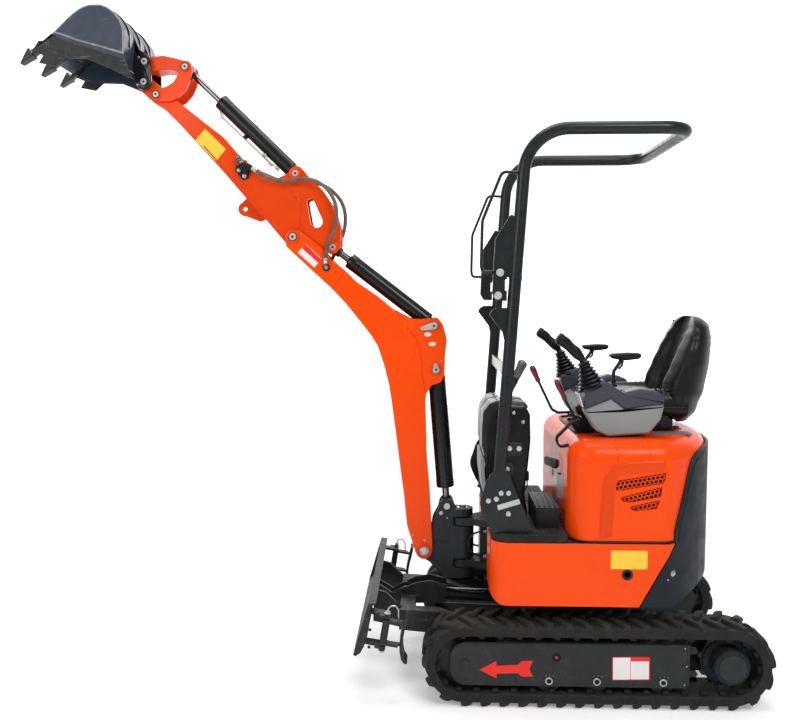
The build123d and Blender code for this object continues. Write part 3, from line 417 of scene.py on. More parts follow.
def slab(bag, pts, lo, hi, axis="y", c=0.0, c2=None):
    """outline extruded along an axis with chamfered rims; axis y: pts are (x, z); z: (x, y); x: (y, z)"""
    c2 = c if c2 is None else c2
    inner0 = offset_poly(pts, c) if c else pts
    inner1 = offset_poly(pts, c2) if c2 else pts
    rings = []
    if c:
        rings.append((inner0, lo))
        rings.append((pts, lo + c))
    else:
        rings.append((pts, lo))
    if c2:
        rings.append((pts, hi - c2))
        rings.append((inner1, hi))
    else:
        rings.append((pts, hi))
    n = len(pts)
    vs, fs = [], []
    for ring, h in rings:
        for p in ring:
            vs.append({"y": (p[0], h, p[1]), "z": (p[0], p[1], h), "x": (h, p[0], p[1])}[axis])
    for k in range(len(rings) - 1):
        for i in range(n):
            j = (i + 1) % n
            fs.append((k * n + i, k * n + j, (k + 1) * n + j, (k + 1) * n + i))
    fs.append(tuple(range(n)))
    fs.append(tuple(reversed(range((len(rings) - 1) * n, len(rings) * n))))
    return bag.add(vs, fs)


def frame_of(d):
    d = Vector(d).normalized()
    u = Vector((0, 0, 1)) if abs(d.z) < 0.9 else Vector((1, 0, 0))
    a = d.cross(u).normalized()
    b = d.cross(a).normalized()
    return d, a, b


def obox(bag, cen, ax, ay, az, hx, hy, hz, c=1.0):
    """chamfered box with its own axes"""
    ax, ay, az = Vector(ax).normalized(), Vector(ay).normalized(), Vector(az).normalized()
    cen = Vector(cen)
    c = min(c, 0.45 * min(hx, hy, hz) * 2)
    vs, fs = [], []
    rings = [(hx - c, hy - c, -hz), (hx, hy, -hz + c), (hx, hy, hz - c), (hx - c, hy - c, hz)]
    for x, y, z in rings:
        k = c
        for sx, sy in ((1, 0.5), (0.5, 1)):
            pass
        pts = [(x - k, -y), (x, -y + k), (x, y - k), (x - k, y), (-x + k, y), (-x, y - k), (-x, -y + k), (-x + k, -y)]
        for px, py in pts:
            vs.append(tuple(cen + ax * px + ay * py + az * z))
    n = 8
    for k in range(3):
        for i in range(n):
            j = (i + 1) % n
            fs.append((k * n + i, k * n + j, (k + 1) * n + j, (k + 1) * n + i))
    fs.append(tuple(range(n)))
    fs.append(tuple(reversed(range(3 * n, 4 * n))))
    return bag.add(vs, fs)


def abox(bag, x0, x1, y0, y1, z0, z1, c=1.0):
    return obox(bag, ((x0 + x1) / 2, (y0 + y1) / 2, (z0 + z1) / 2), (1, 0, 0), (0, 1, 0), (0, 0, 1), (x1 - x0) / 2, (y1 - y0) / 2, (z1 - z0) / 2, c)


def rev(bag, p, d, prof, seg=24, caps=True):
    """profile of (radius, height) turned about the line from p along d"""
    d, a, b = frame_of(d)
    p = Vector(p)
    vs, fs = [], []
    for r, h in prof:
        for k in range(seg):
            t = 2 * math.pi * k / seg
            vs.append(tuple(p + d * h + (a * math.cos(t) + b * math.sin(t)) * r))
    m = len(prof)
    for i in range(m - 1):
        for k in range(seg):
            j = (k + 1) % seg
            fs.append((i * seg + k, i * seg + j, (i + 1) * seg + j, (i + 1) * seg + k))
    if caps:
        fs.append(tuple(reversed(range(seg))))
        fs.append(tuple(range((m - 1) * seg, m * seg)))
    return bag.add(vs, fs)


def cyl(bag, p0, p1, r, c=1.0, seg=24, r2=None):
    L = (Vector(p1) - Vector(p0)).length
    r2 = r if r2 is None else r2
    c = min(c, r * 0.5, L * 0.3)
    if c <= 0:
        return rev(bag, p0, Vector(p1) - Vector(p0), [(r, 0), (r2, L)], seg)
    return rev(bag, p0, Vector(p1) - Vector(p0), [(r - c, 0), (r, c), (r2, L - c), (r2 - c, L)], seg)


def hexhead(bag, p, d, r, h, washer=True, turn=0.0):
    """hexagon bolt head with a domed top and a washer; r is the width across corners / 2"""
    if washer:
        rev(bag, p, d, [(r * 1.25, 0), (r * 1.35, 0.4), (r * 1.35, 1.6), (r * 1.25, 2.0)], 24)
        p = Vector(p) + Vector(d).normalized() * 2.0
    dd, a, b = frame_of(d)
    vs, fs = [], []
    rings = [(1.0, 0), (1.0, h * 0.75), (0.80, h)]
    for s, hh in rings:
        for k in range(6):
            t = turn + math.pi * k / 3
            vs.append(tuple(Vector(p) + dd * hh + (a * math.cos(t) + b * math.sin(t)) * r * s))
    for i in range(2):
        for k in range(6):
            j = (k + 1) % 6
            fs.append((i * 6 + k, i * 6 + j, (i + 1) * 6 + j, (i + 1) * 6 + k))
    fs.append(tuple(reversed(range(6))))
    fs.append(tuple(range(12, 18)))
    bag.add(vs, fs)


def button(bag, p, d, r, h=4.0):
    """round bolt head with a socket"""
    rev(bag, p, d, [(r, 0), (r, h * 0.6), (r * 0.9, h), (r * 0.45, h), (r * 0.40, h * 0.45)], 24)


def catmull(pts, per=8, closed=False):
    P = [Vector(p) for p in pts]
    n = len(P)
    out = []
    rng = range(n if closed else n - 1)
    for i in rng:
        p0 = P[i - 1] if (i > 0 or closed) else P[0] * 2 - P[1]
        p1, p2 = P[i], P[(i + 1) % n]
        p3 = P[(i + 2) % n] if (i + 2 < n or closed) else P[-1] * 2 - P[-2]
        for k in range(per):
            t = k / per
            out.append(0.5 * ((2 * p1) + (p2 - p0) * t + (2 * p0 - 5 * p1 + 4 * p2 - p3) * t * t + (3 * p1 - p0 - 3 * p2 + p3) * t ** 3))
    if not closed:
        out.append(P[-1])
    return out


def fillet_path(pts, r, seg=6):
    """open polyline with rounded corners; r one number or one per inner corner"""
    P = [Vector(p) for p in pts]
    out = [P[0]]
    for i in range(1, len(P) - 1):
        rr = r[i - 1] if hasattr(r, "__len__") else r
        a, b = (P[i - 1] - P[i]), (P[i + 1] - P[i])
        la, lb = a.length, b.length
        a.normalize()
        b.normalize()
        half = math.acos(max(-0.9999, min(0.9999, a.dot(b)))) / 2
        if math.pi / 2 - half < 0.01:
            out.append(P[i])
            continue
        t = min(rr / math.tan(half), 0.49 * la, 0.49 * lb)
        r2 = t * math.tan(half)
        m = (a + b).normalized()
        cen = P[i] + m * (r2 / math.sin(half))
        s, e = P[i] + a * t, P[i] + b * t
        us, ue = (s - cen), (e - cen)
        ang = us.angle(ue)
        ax = us.cross(ue).normalized()
        for k in range(seg + 1):
            q = Matrix.Rotation(ang * k / seg, 3, ax) @ us
            out.append(cen + q)
    out.append(P[-1])
    return out


def tube(bag, pts, r, seg=14, caps=True, closed=False, flat=None):
    """tube along points with a steady frame; r a number or one per point; flat is not used"""
    P = [Vector(p) for p in pts]
    n = len(P)
    tans = []
    for i in range(n):
        a = P[i - 1] if (i > 0 or closed) else P[i]
        b = P[(i + 1) % n] if (i < n - 1 or closed) else P[i]
        t = b - a
        tans.append(t.normalized() if t.length > 1e-9 else Vector((0, 0, 1)))
    d, u, v = frame_of(tans[0])
    vs, fs = [], []
    for i in range(n):
        t = tans[i]
        u = (u - t * u.dot(t)).normalized()
        v = t.cross(u).normalized()
        rr = r[i] if hasattr(r, "__len__") else r
        for k in range(seg):
            a = 2 * math.pi * k / seg
            vs.append(tuple(P[i] + (u * math.cos(a) + v * math.sin(a)) * rr))
    rng = n if closed else n - 1
    for i in range(rng):
        i2 = (i + 1) % n
        for k in range(seg):
            j = (k + 1) % seg
            fs.append((i * seg + k, i * seg + j, i2 * seg + j, i2 * seg + k))
    if caps and not closed:
        fs.append(tuple(reversed(range(seg))))
        fs.append(tuple(range((n - 1) * seg, n * seg)))
    return bag.add(vs, fs)


def strip(bag, pts, width_dir, w, thick, ndir=None):
    """flat strap: centre points, its width along width_dir, thickness across"""
    P = [Vector(p) for p in pts]
    wd = Vector(width_dir).normalized()
    n = len(P)
    vs, fs = [], []
    for i in range(n):
        a, b = P[max(0, i - 1)], P[min(n - 1, i + 1)]
        t = (b - a).normalized()
        nn = t.cross(wd).normalized()
        for s, q in ((-1, -1), (1, -1), (1, 1), (-1, 1)):
            vs.append(tuple(P[i] + wd * (w / 2) * s + nn * (thick / 2) * q))
    for i in range(n - 1):
        for k in range(4):
            j = (k + 1) % 4
            fs.append((i * 4 + k, i * 4 + j, (i + 1) * 4 + j, (i + 1) * 4 + k))
    fs.append((3, 2, 1, 0))
    fs.append(tuple(range((n - 1) * 4, n * 4)))
    return bag.add(vs, fs)


def make(name, bag, mat, body, angle=38.0, bevel=0.0, bseg=2, sub=0, ride=True):
    me = bpy.data.meshes.new(name)
    me.from_pydata([(x * MM, y * MM, z * MM) for x, y, z in bag.v], [], bag.f)
    me.validate()
    bm = bmesh.new()
    bm.from_mesh(me)
    bmesh.ops.recalc_face_normals(bm, faces=bm.faces)
    if bevel:
        eds = [e for e in bm.edges if e.is_manifold and e.calc_face_angle(0) > math.radians(28)]
        bmesh.ops.bevel(bm, geom=eds, offset=bevel * MM, segments=bseg, profile=0.6, affect="EDGES", clamp_overlap=True)
    bm.to_mesh(me)
    bm.free()
    me.polygons.foreach_set("use_smooth", [True] * len(me.polygons))
    me.set_sharp_from_angle(angle=math.radians(angle))
    me.materials.append(MAT[mat])
    o = bpy.data.objects.new(name, me)
    scene.collection.objects.link(o)
    if sub:
        s = o.modifiers.new("sub", "SUBSURF")
        s.levels = s.render_levels = sub
    if ride:
        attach(o, body)
    return o


def dress(node, mat):
    o = NODES[node]
    for s in o.material_slots:
        s.material = MAT[mat]


# ------------------------------------------------------------------ CAD nodes that stay, with their finishes
for n, m in {
    "track_frames": "frame", "rollers_and_idlers": "frame", "drive_sprockets": "frame",
    "carbody": "frame", "slew_ring": "steel", "dozer_blade": "blade", "blade_arms": "blade", "blade_wing_left": "blade", "blade_wing_right": "blade",
    "boom_cylinder_barrel": "black", "arm_cylinder_barrel": "black", "bucket_cylinder_barrel": "black", "blade_cylinder_barrel": "black",
    "boom_cylinder_rod": "chrome", "arm_cylinder_rod": "chrome", "bucket_cylinder_rod": "chrome", "blade_cylinder_rod": "chrome",
    "swing_bracket": "post", "boom": "orange", "arm": "orange_arm", "guide_links": "orange_cast", "bucket_link": "orange_cast", "bucket": "bucket",
    "upper_frame": "frame", "side_skirts": "orange", "counterweight": "slate", "engine_hood": "orange", "engine": "plastic", "floor_mat": "mat",
    "step_box": "plastic", "front_console": "plastic", "rops_posts": "tube", "rops_hoop": "tube", "consoles": "con_dark",
    "joysticks": "plastic", "levers": "plastic", "aux_ports": "black",
}.items():
    dress(n, m)

# ------------------------------------------------------------------ the hoses first
HOSE_L = [(1377, 62, 2098), (1325, 70, 2058), (1235, 74, 2040), (1150, 76, 2058), (1075, 76, 2028), (1026, 76, 1950),
          (1030, 76, 1860), (1066, 75, 1785), (1077, 74, 1725), (1075, 74, 1694)]
HOSE_R_SIDE = [(1377, -62, 2098), (1325, -70, 2056), (1235, -74, 2042), (1152, -76, 2062), (1075, -76, 2038), (1010, -76, 1966),
               (1004, -76, 1868), (1036, -75, 1786), (1068, -74, 1728), (1075, -74, 1694)]
SWING_HOSE = [(404.3, 72, 582), (446, 72, 582), (477, 73, 551), (477, 73, 507), (446, 72, 476), (404.3, 72, 476)]


def route(name, pts):
    cu = bpy.data.curves.new(name, "CURVE")
    cu.dimensions = "3D"
    cu.resolution_u = 10
    sp = cu.splines.new("NURBS")
    sp.points.add(len(pts) - 1)
    for i, p in enumerate(pts):
        sp.points[i].co = (p[0] * MM, p[1] * MM, p[2] * MM, 1)
    sp.order_u = 3
    sp.use_endpoint_u = True
    o = bpy.data.objects.new(name, cu)
    scene.collection.objects.link(o)
    me = bpy.data.meshes.new_from_object(o)
    out = [Vector(v.co) / MM for v in me.vertices]
    bpy.data.objects.remove(o)
    bpy.data.meshes.remove(me)
    return out


def hose(name, pts, r, node, mat, body, to=None, far="object"):
    line = route(name + "_line", pts)
    b = Bag()
    tube(b, line, r, seg=16)
    o = make(name, b, mat, body, angle=60, ride=to is None)
    if to is None:
        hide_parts(node)
    length = sum((line[i + 1] - line[i]).length for i in range(len(line) - 1)) * MM
    return o, line, length


HOSES = []
for nm, pts, node in (("aux_hose_l", HOSE_L, "aux_hose_left"), ("aux_hose_r", HOSE_R_SIDE, "aux_hose_right")):
    o, line, L = hose(nm, pts, 8.0, node, "hose", "arm", to="boom")
    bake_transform(o)
    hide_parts(node)
    HOSES.append((nm, L, line))
for nm, sy, node in (("swing_hose_l", 1, "swing_hose_left"), ("swing_hose_r", -1, "swing_hose_right")):
    o, line, L = hose(nm, [(p[0], sy * p[1], p[2]) for p in SWING_HOSE], 4.5, node, "hose_black", "upper")
    HOSES.append((nm, L, line))

# ferrules and elbows of the auxiliary hoses
for k, sy in ((0, 1), (1, -1)):
    line = HOSES[k][2]
    b = Bag()
    d = (line[-1] - line[-4]).normalized()
    e = line[-1]
    rev(b, e - d * 34, d, [(8.6, 0), (9.6, 1.5), (9.6, 8), (9.0, 9), (9.0, 14), (9.6, 15), (9.6, 22), (7.4, 24), (6.2, 26), (6.2, 36)], 20)
    make("hose_ferrule_%s" % "lr"[k], b, "zinc", "boom")
    b = Bag()
    rev(b, (1073, sy * 63.5, 1690), (0, sy, 0), [(15, 0), (15.5, 1.5), (13, 3.2), (9, 3.6)], 28)
    make("hose_grommet_%s" % "lr"[k], b, "seal", "boom")
    b = Bag()
    hexhead(b, (1073, sy * 66, 1690), (0, sy, 0), 9.0, 8, washer=False)
    tube(b, [(1073, sy * 68, 1690), (1074, sy * 74, 1691), (1075, sy * 74, 1700)], 6.0, seg=14)
    make("hose_elbow_%s" % "lr"[k], b, "zinc", "boom")
    st = line[0]
    d = (line[3] - line[0]).normalized()
    b = Bag()
    rev(b, st - d * 3, d, [(8.8, 0), (10, 1.5), (10, 7), (9.2, 8), (9.2, 13), (10, 14), (10, 22), (9.0, 24)], 20)
    make("aux_ferrule_%s" % "lr"[k], b, "zinc", "arm")
    b = Bag()
    for q in ((1436, 2093), (1413, 2068)):
        hexhead(b, (q[0], sy * 53, q[1]), (0, sy, 0), 6.5, 5)
    make("aux_bolts_%s" % "lr"[k], b, "zinc", "arm")
    b = Bag()
    u = Vector((1440 - 1412, 0, 2148 - 2094)).normalized()
    p0 = Vector((1412, sy * 62, 2094))
    rev(b, p0 + u * 26, u, [(11.3, 0), (12.6, 1), (12.6, 9), (11.3, 10)], 6)
    rev(b, p0 + u * 40, u, [(11.2, 0), (12.2, 1), (12.2, 5), (11.2, 6)], 24)
    rev(b, p0 + u * 50, u, [(11.2, 0), (12.4, 1), (12.4, 9), (10.2, 10.6)], 24)
    make("aux_rings_%s" % "lr"[k], b, "steel", "arm")
# sockets of the swing hoses
b = Bag()
for sy in (1, -1):
    for z in (476, 582):
        rev(b, (398, sy * 72, z), (1, 0, 0), [(8, 0), (9.6, 0.6), (9.6, 7), (6.6, 8), (6.6, 16), (5.2, 17)], 6)
make("swing_hose_fittings", b, "zinc", "upper")

# ------------------------------------------------------------------ tracks
TRACK_LENGTH, TRACK_HEIGHT, BELT, LUG, NL = 1342.0, 332.0, 27.0, 27.0, 39
R_END = TRACK_HEIGHT / 2
R_BELT = R_END - LUG
R_IN = R_BELT - BELT
AXLE = TRACK_LENGTH / 2 - R_END
ZC = R_END
R_PITCH = R_BELT - BELT / 2
STRAIGHT = 2 * AXLE
LOOP = 2 * STRAIGHT + 2 * math.pi * R_PITCH
PITCH_L = LOOP / NL


def loop_point(s, h):
    """place at s along the pitch line, h out from the belt's outside"""
    s = s % LOOP
    arc = math.pi * R_PITCH
    R = R_BELT + h
    if s < STRAIGHT:
        return (-AXLE + s, ZC - R)
    s -= STRAIGHT
    if s < arc:
        a = -math.pi / 2 + s / R_PITCH
        return (AXLE + R * math.cos(a), ZC + R * math.sin(a))
    s -= arc
    if s < STRAIGHT:
        return (AXLE - s, ZC + R)
    s -= STRAIGHT
    a = math.pi / 2 + s / R_PITCH
    return (-AXLE + R * math.cos(a), ZC + R * math.sin(a))


def track(sy, name, node):
    belt = Bag()
    n = 240
    sec = [(270.4, -24), (273, -27), (330, -27), (390, -27), (447, -27), (449.6, -24), (449.6, 2), (446, 8), (436, 10.8), (360, 11.2), (284, 10.8), (274, 8), (270.4, 2)]
    m = len(sec)
    vs, fs = [], []
    for i in range(n):
        s0 = LOOP * i / n
        for y, h in sec:
            x, z = loop_point(s0, h)
            vs.append((x, sy * y, z))
    for i in range(n):
        j = (i + 1) % n
        for k in range(m):
            l = (k + 1) % m
            fs.append((i * m + k, i * m + l, j * m + l, j * m + k))
    belt.add(vs, fs)
    o = make(name + "_belt", belt, "rubber", "undercarriage", angle=30)
    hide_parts(node)
    lug = Bag()
    for i in range(NL):
        for half in (0, 1):
            s0 = 10.0 + PITCH_L * (i + 0.5 * half)
            y0, y1 = (364.0, 449.6) if half else (356.0, 270.4)
            rows = 5
            jit = 0.6 * math.sin(i * 12.9898 + half * 78.2)
            levels = ((-1.5, 20.0), (13, 16.2), (23.5, 13.8), (26.6, 10.6), (26.9 + 0.0 * jit, 5.0))
            prof_n = len(levels) * 2
            vv, ff = [], []
            for r in range(rows):
                t = r / (rows - 1)
                y = y0 + (y1 - y0) * t
                skew = 46.0 * (t - 0.40)
                endf = 1.0 if 0 < r < rows - 1 else 0.80
                hs = 1.0 if r < rows - 1 else 0.86
                for side in (-1, 1):
                    lv = levels if side < 0 else levels[::-1]
                    for h, w in lv:
                        hh = h * hs if h > 0 else h
                        # the outer ends trail on the upper run
                        x, z = loop_point(s0 + side * w * endf + skew, hh)
                        yy = y
                        if r == rows - 1 and h > 0:
                            yy = y - (1 if y1 > y0 else -1) * h * 0.16
                        if r == 0 and h > 0:
                            yy = y + (1 if y1 > y0 else -1) * h * 0.22
                        vv.append((x, sy * yy, z))
            for r in range(rows - 1):
                for k in range(prof_n):
                    l = (k + 1) % prof_n
                    ff.append((r * prof_n + k, r * prof_n + l, (r + 1) * prof_n + l, (r + 1) * prof_n + k))
            ff.append(tuple(range(prof_n)))
            ff.append(tuple(reversed(range((rows - 1) * prof_n, rows * prof_n))))
            lug.add(vv, ff)
    make(name + "_lugs", lug, "lug", "undercarriage", angle=34)
    tooth = Bag()
    for i in range(NL):
        for yc in (426.0, 294.0):
            s0 = 10.0 + PITCH_L * (i + 0.25)
            vv = []
            for y in (yc - 8, yc + 8):
                for ds, h in ((-15, -26.6), (-11, -38), (-7, -41), (7, -41), (11, -38), (15, -26.6)):
                    x, z = loop_point(s0 + ds, h)
                    vv.append((x, sy * y, z))
            ff = [(k, (k + 1) % 6, 6 + (k + 1) % 6, 6 + k) for k in range(6)] + [tuple(range(6)), tuple(reversed(range(6, 12)))]
            tooth.add(vv, ff)
    make(name + "_horns", tooth, "rubber", "undercarriage", angle=30)


track(1, "track_left", "left_track")
track(-1, "track_right", "right_track")

# track frame trim, both sides
ROLLERS_X = (185.0, 3.0, -247.0)
ROLLER_Z = ZC - R_IN + 52.3
for k, sy in ((0, 1), (1, -1)):
    t = "lr"[k]
    b = Bag()
    # folded edges of the cover plate
    slab(b, [(-343, 250), (516, 250), (552, 226), (548, 223), (514, 243), (-343, 243)], *((438.0, 440.4) if sy > 0 else (-440.4, -438.0)), c=1.0)
    slab(b, [(-343, 86), (-343, 93), (512, 93), (546, 120), (551, 116), (516, 86)], *((438.0, 439.8) if sy > 0 else (-439.8, -438.0)), c=0.8)
    slab(b, [(-344, 86), (-344, 250), (-336, 250), (-336, 86)], *((438.0, 439.8) if sy > 0 else (-439.8, -438.0)), c=0.8)
    make("frame_edges_" + t, b, "frame", "undercarriage")
    b = Bag()
    for rx in ROLLERS_X:
        rev(b, (rx, sy * 438, ROLLER_Z), (0, sy, 0), [(19, 0), (19.5, 1.5), (17, 3)], 28)
    make("axle_plates_" + t, b, "frame", "undercarriage")
    b = Bag()
    for rx in ROLLERS_X:
        rev(b, (rx, sy * 440.5, ROLLER_Z), (0, sy, 0), [(14.4, 0), (14.8, 2.5), (13.6, 4.4), (10.2, 4.6), (9.4, 3.4)], 28)
        for a in (-0.6, 0.0, 0.6):
            rev(b, (rx + 26 * math.sin(a) - 4, sy * 438, ROLLER_Z + 20 * math.cos(a) + 2), (0, sy, 0), [(1.6, 0), (1.8, 1.0), (0.8, 1.6)], 8)
    for q in ((-327, 240), (-327, 98), (-334, 170)):
        rev(b, (q[0], sy * 439, q[1]), (0, sy, 0), [(2.8, 0), (2.8, 1.2), (1.4, 2.0)], 10)
    make("axle_rings_" + t, b, "zinc", "undercarriage")
    b = Bag()
    for rx in ROLLERS_X:
        rev(b, (rx, sy * 443, ROLLER_Z), (0, sy, 0), [(9.6, 0), (9.4, 1.4), (7.5, 2.0), (3.5, 2.0), (3, 1.2)], 24)
    rev(b, (157, sy * 437.4, 197), (0, sy, 0), [(17, 0), (17.5, 1.6), (15, 2.6), (14.2, 1.4)], 28)
    make("axle_centres_" + t, b, "dark", "undercarriage")
    b = Bag()
    rev(b, (157, sy * 437.8, 198), (0, sy, 0), [(5.2, 0), (5.2, 1.6), (4.0, 2.4)], 16)
    arrow = [(450, 145), (385, 181), (385, 162), (303, 167), (289, 181), (246, 184), (260, 152), (245, 121), (288, 121), (303, 134), (385, 131), (384, 112)]
    slab(b, arrow, *((438.0, 438.8) if sy > 0 else (-438.8, -438.0)), c=0.3, c2=0.3)
    # border of the blank plate
    slab(b, round_poly([(-54, 203), (-195, 205), (-197, 115), (-55, 112)], 4), *((438.0, 438.7) if sy > 0 else (-438.7, -438.0)))
    make("frame_red_" + t, b, "red", "undercarriage")
    b = Bag()
    slab(b, round_poly([(-57, 200), (-122, 201.5), (-122, 116.2), (-58, 115)], 2), *((438.5, 439.1) if sy > 0 else (-439.1, -438.5)))
    slab(b, round_poly([(-124, 187), (-192, 188), (-193, 118.3), (-124, 117)], 2), *((438.5, 439.1) if sy > 0 else (-439.1, -438.5)))
    make("frame_plate_" + t, b, "white", "undercarriage")
    # final drive: cover, flange and their bolts
    b = Bag()
    c0 = (-505, 0, ZC)
    rev(b, (-505, sy * 372, ZC), (0, sy, 0), [(86, 0), (92, 1.5), (92, 7), (88, 9), (70, 9)], 56)
    rev(b, (-505, sy * 437, ZC), (0, sy, 0), [(66, 0), (66, 4), (63, 7), (56, 8.2), (54, 9.6), (52.5, 12.4), (49, 12.8), (46, 12.2), (20, 12.0)], 56)
    make("drive_cover_" + t, b, "slate", "undercarriage")
    b = Bag()
    for i in range(9):
        a = 2 * math.pi * i / 9 + 0.35
        hexhead(b, (-505 + 80 * math.cos(a), sy * 380, ZC + 80 * math.sin(a)), (0, sy, 0), 6.0, 5, washer=False)
    for i in range(8):
        a = 2 * math.pi * i / 8 + 0.2
        rev(b, (-505 + 60 * math.cos(a), sy * 442, ZC + 60 * math.sin(a)), (0, sy, 0), [(3.4, 0), (3.4, 3), (2.6, 4)], 12)
    for a in (0.5, 2.2, 4.4):
        rev(b, (-505 + 30 * math.cos(a), sy * 448.8, ZC + 30 * math.sin(a)), (0, sy, 0), [(5.2, 0), (5.2, 0.6), (3.0, 1.1), (2.4, 0.3)], 12)
    make("drive_bolts_" + t, b, "frame", "undercarriage")
    # tensioner lugs behind the plate
    b = Bag()
    for z in (122, 212):
        slab(b, round_poly([(-342, z - 14), (-342, z + 14), (-384, z + 9), (-392, z - 1), (-384, z - 12)], 5), *((380, 396) if sy > 0 else (-396, -380)), c=1.2)
    make("frame_lugs_" + t, b, "frame", "undercarriage")


# ------------------------------------------------------------------ dozer blade trim
def pin_head(bag_ring, bag_head, bag_dot, p, sy, y, r, boss=None):
    """retained pin: orange or dark boss ring, pale head and its dark centre"""
    d = (0, sy, 0)
    rev(bag_head, (p[0], sy * y, p[1]), d, [(r, 0), (r, 1.8), (r - 1.4, 3.0), (r * 0.42, 3.0), (r * 0.36, 2.2)], 32)
    rev(bag_dot, (p[0], sy * (y + 1.2), p[1]), d, [(r * 0.37, 0), (r * 0.37, 1.4), (r * 0.2, 2.2)], 18)
    rev(bag_ring, (p[0], sy * (y - 0.6), p[1]), d, [(r + 3.6, 0), (r + 3.6, 1.2), (r + 2.6, 1.6), (r, 1.6)], 32)


wt, wb = Vector((794.5, 0, 400)), Vector((827.0, 0, 201))
wdir = (wt - wb).normalized()
for k, sy in ((0, 1), (1, -1)):
    t = "lr"[k]
    b = Bag()
    hy = Vector((0, sy * 452.0, 0))
    for t0, dd in ((168, 1), (22, -1)):
        p = wb + wdir * t0 + hy
        hexhead(b, p - wdir * 0.5 * dd, wdir * dd, 9.6, 7)
    make("hinge_bolts_" + t, b, "zinc", "blade")
    # bent wire handle of the locking pin
    b = Bag()
    base = wb + wdir * 171 + hy
    pts = [base + Vector((0, 0, 2)), base + Vector((-2, 0, 16)), base + Vector((-12, -sy * 4, 24)), base + Vector((-30, -sy * 8, 24)), base + Vector((-40, -sy * 10, 8)), base + Vector((-40, -sy * 12, -30))]
    tube(b, fillet_path(pts, 9), 3.0, seg=10)
    make("hinge_pin_handle_" + t, b, "zinc", "blade")
    b = Bag()
    for z in (232, 300, 366):
        f = (z - 201) / 199.0
        x = 884 + (1 - f) * 12
        button(b, (x - 22, sy * 446.2, z), (0, sy, 0), 6, 3.5)
    make("blade_bolts_" + t, b, "frame", "blade")
b = Bag()
# weld beads where the arms meet the board and the cross tube
for y in (-44, -24, 24, 38, 186, 202, -186, -202):
    pts = [(868 - 0.0, y, z) for z in range(262, 345, 9)]
    tube(b, [(p[0] + 1.2 * math.sin(i * 1.7), p[1], p[2]) for i, p in enumerate(pts)], 2.2, seg=6)
make("blade_welds", b, "blade", "blade")
b = Bag()
for y in (-40.5, 40.5):
    sy = 1 if y > 0 else -1
    rev(b, (735, y - sy * 2.4, 286), (0, sy, 0), [(15, 0), (15, 3.5), (12, 5), (6, 5), (5, 4)], 28)
make("blade_pin_heads", b, "zinc", "blade")
b = Bag()
for sy in (1, -1):
    hexhead(b, (300, sy * 240, 150), (0, sy, 0), 15, 9)
    hexhead(b, (300, sy * 50, 272), (0, sy, 0), 12, 7)
make("carbody_pin_bolts", b, "zinc", "undercarriage")


# ------------------------------------------------------------------ hydraulic cylinders
def dress_cylinder(tag, base, eye, length, r, rod_r, body, rod_body, ports=True):
    p, q = Vector((base[0], 0, base[1])), Vector((eye[0], 0, eye[1]))
    u = (q - p).normalized()
    b = Bag()
    # weld ring at the foot, gland nut at the rod end
    rev(b, p + u * 29.4, u, [(r * 0.80, 0), (r * 0.98, 2), (r + 0.8, 5), (r + 0.8, 8), (r * 0.99, 11)], 40)
    g = p + u * (length - 30)
    rev(b, g, u, [(r * 0.99, 0), (r + 0.9, 1.2), (r + 0.9, 27), (r - 1.0, 30.4), (rod_r + 5, 30.6), (rod_r + 4, 32.6), (rod_r + 1.2, 33.0)], 48)
    for f in (-46, -42.5):
        rev(b, p + u * (length + f), u, [(r * 0.99, 0), (r + 0.5, 0.8), (r + 0.5, 2.0), (r * 0.99, 2.8)], 40, caps=False)
    make(tag + "_gland", b, "black", body)
    b = Bag()
    rev(b, p + u * (length + 2.8), u, [(rod_r + 3.4, 0), (rod_r + 2.6, 2.6), (rod_r + 0.7, 3.4)], 32)
    make(tag + "_wiper", b, "seal", body)
    b = Bag()
    e = q - u * 30
    rev(b, e - u * 9, u, [(rod_r + 0.8, 0), (rod_r * 1.35 + 1.0, 3), (rod_r * 1.35 + 1.2, 9), (rod_r * 1.35 + 1.2, 14)], 32)
    make(tag + "_rod_collar", b, "black", rod_body)
    return p, q, u


P_FOOT, P_K, P_BC, P_AB, P_A, P_AR, P_CB, P_G, P_E, P_B, P_U = (665, 492), (568, 682), (616, 1265), (625, 1448), (1213, 1817), (1048, 1774), (1202, 2079), (1774, 2401), (1652, 2512), (1821, 2450), (1817, 2532)
dress_cylinder("boom_cyl", P_BC, P_K, 508, 37, 15, "boom_barrel", "boom_rod")
dress_cylinder("arm_cyl", P_AB, P_AR, 450, 33, 15, "arm_barrel", "arm_rod")
pb, qb, ub = dress_cylinder("bucket_cyl", P_CB, P_E, 440, 32, 13, "bucket_barrel", "bucket_rod")
dress_cylinder("blade_cyl", (300, 272), (735, 286), 300, 33, 13, "blade_barrel", "blade_rod")

# rod eyes are black forgings
for tag, e, base, body, hy in (("boom", P_K, P_BC, "boom_rod", 19.4), ("arm", P_AR, P_AB, "arm_rod", 19.4), ("bucket", P_E, P_CB, "bucket_rod", 18.4), ("blade", (735, 286), (300, 272), "blade_rod", 20.4)):
    b = Bag()
    r_eye = 22 if tag == "blade" else 24
    rev(b, (e[0], -hy, e[1]), (0, 1, 0), [(r_eye - 2, 0), (r_eye + 0.6, 2), (r_eye + 0.6, 2 * hy - 2), (r_eye - 2, 2 * hy)], 40)
    make(tag + "_rod_eye", b, "black", body)

# steel lines and ports of the bucket cylinder
side = Vector((0, 1, 0))
low = ub.cross(side).normalized()
if low.z > 0:
    low = -low
b = Bag()
fit = Bag()


def on_bc(d, off_low, y):
    return pb + ub * d + low * off_low + side * y


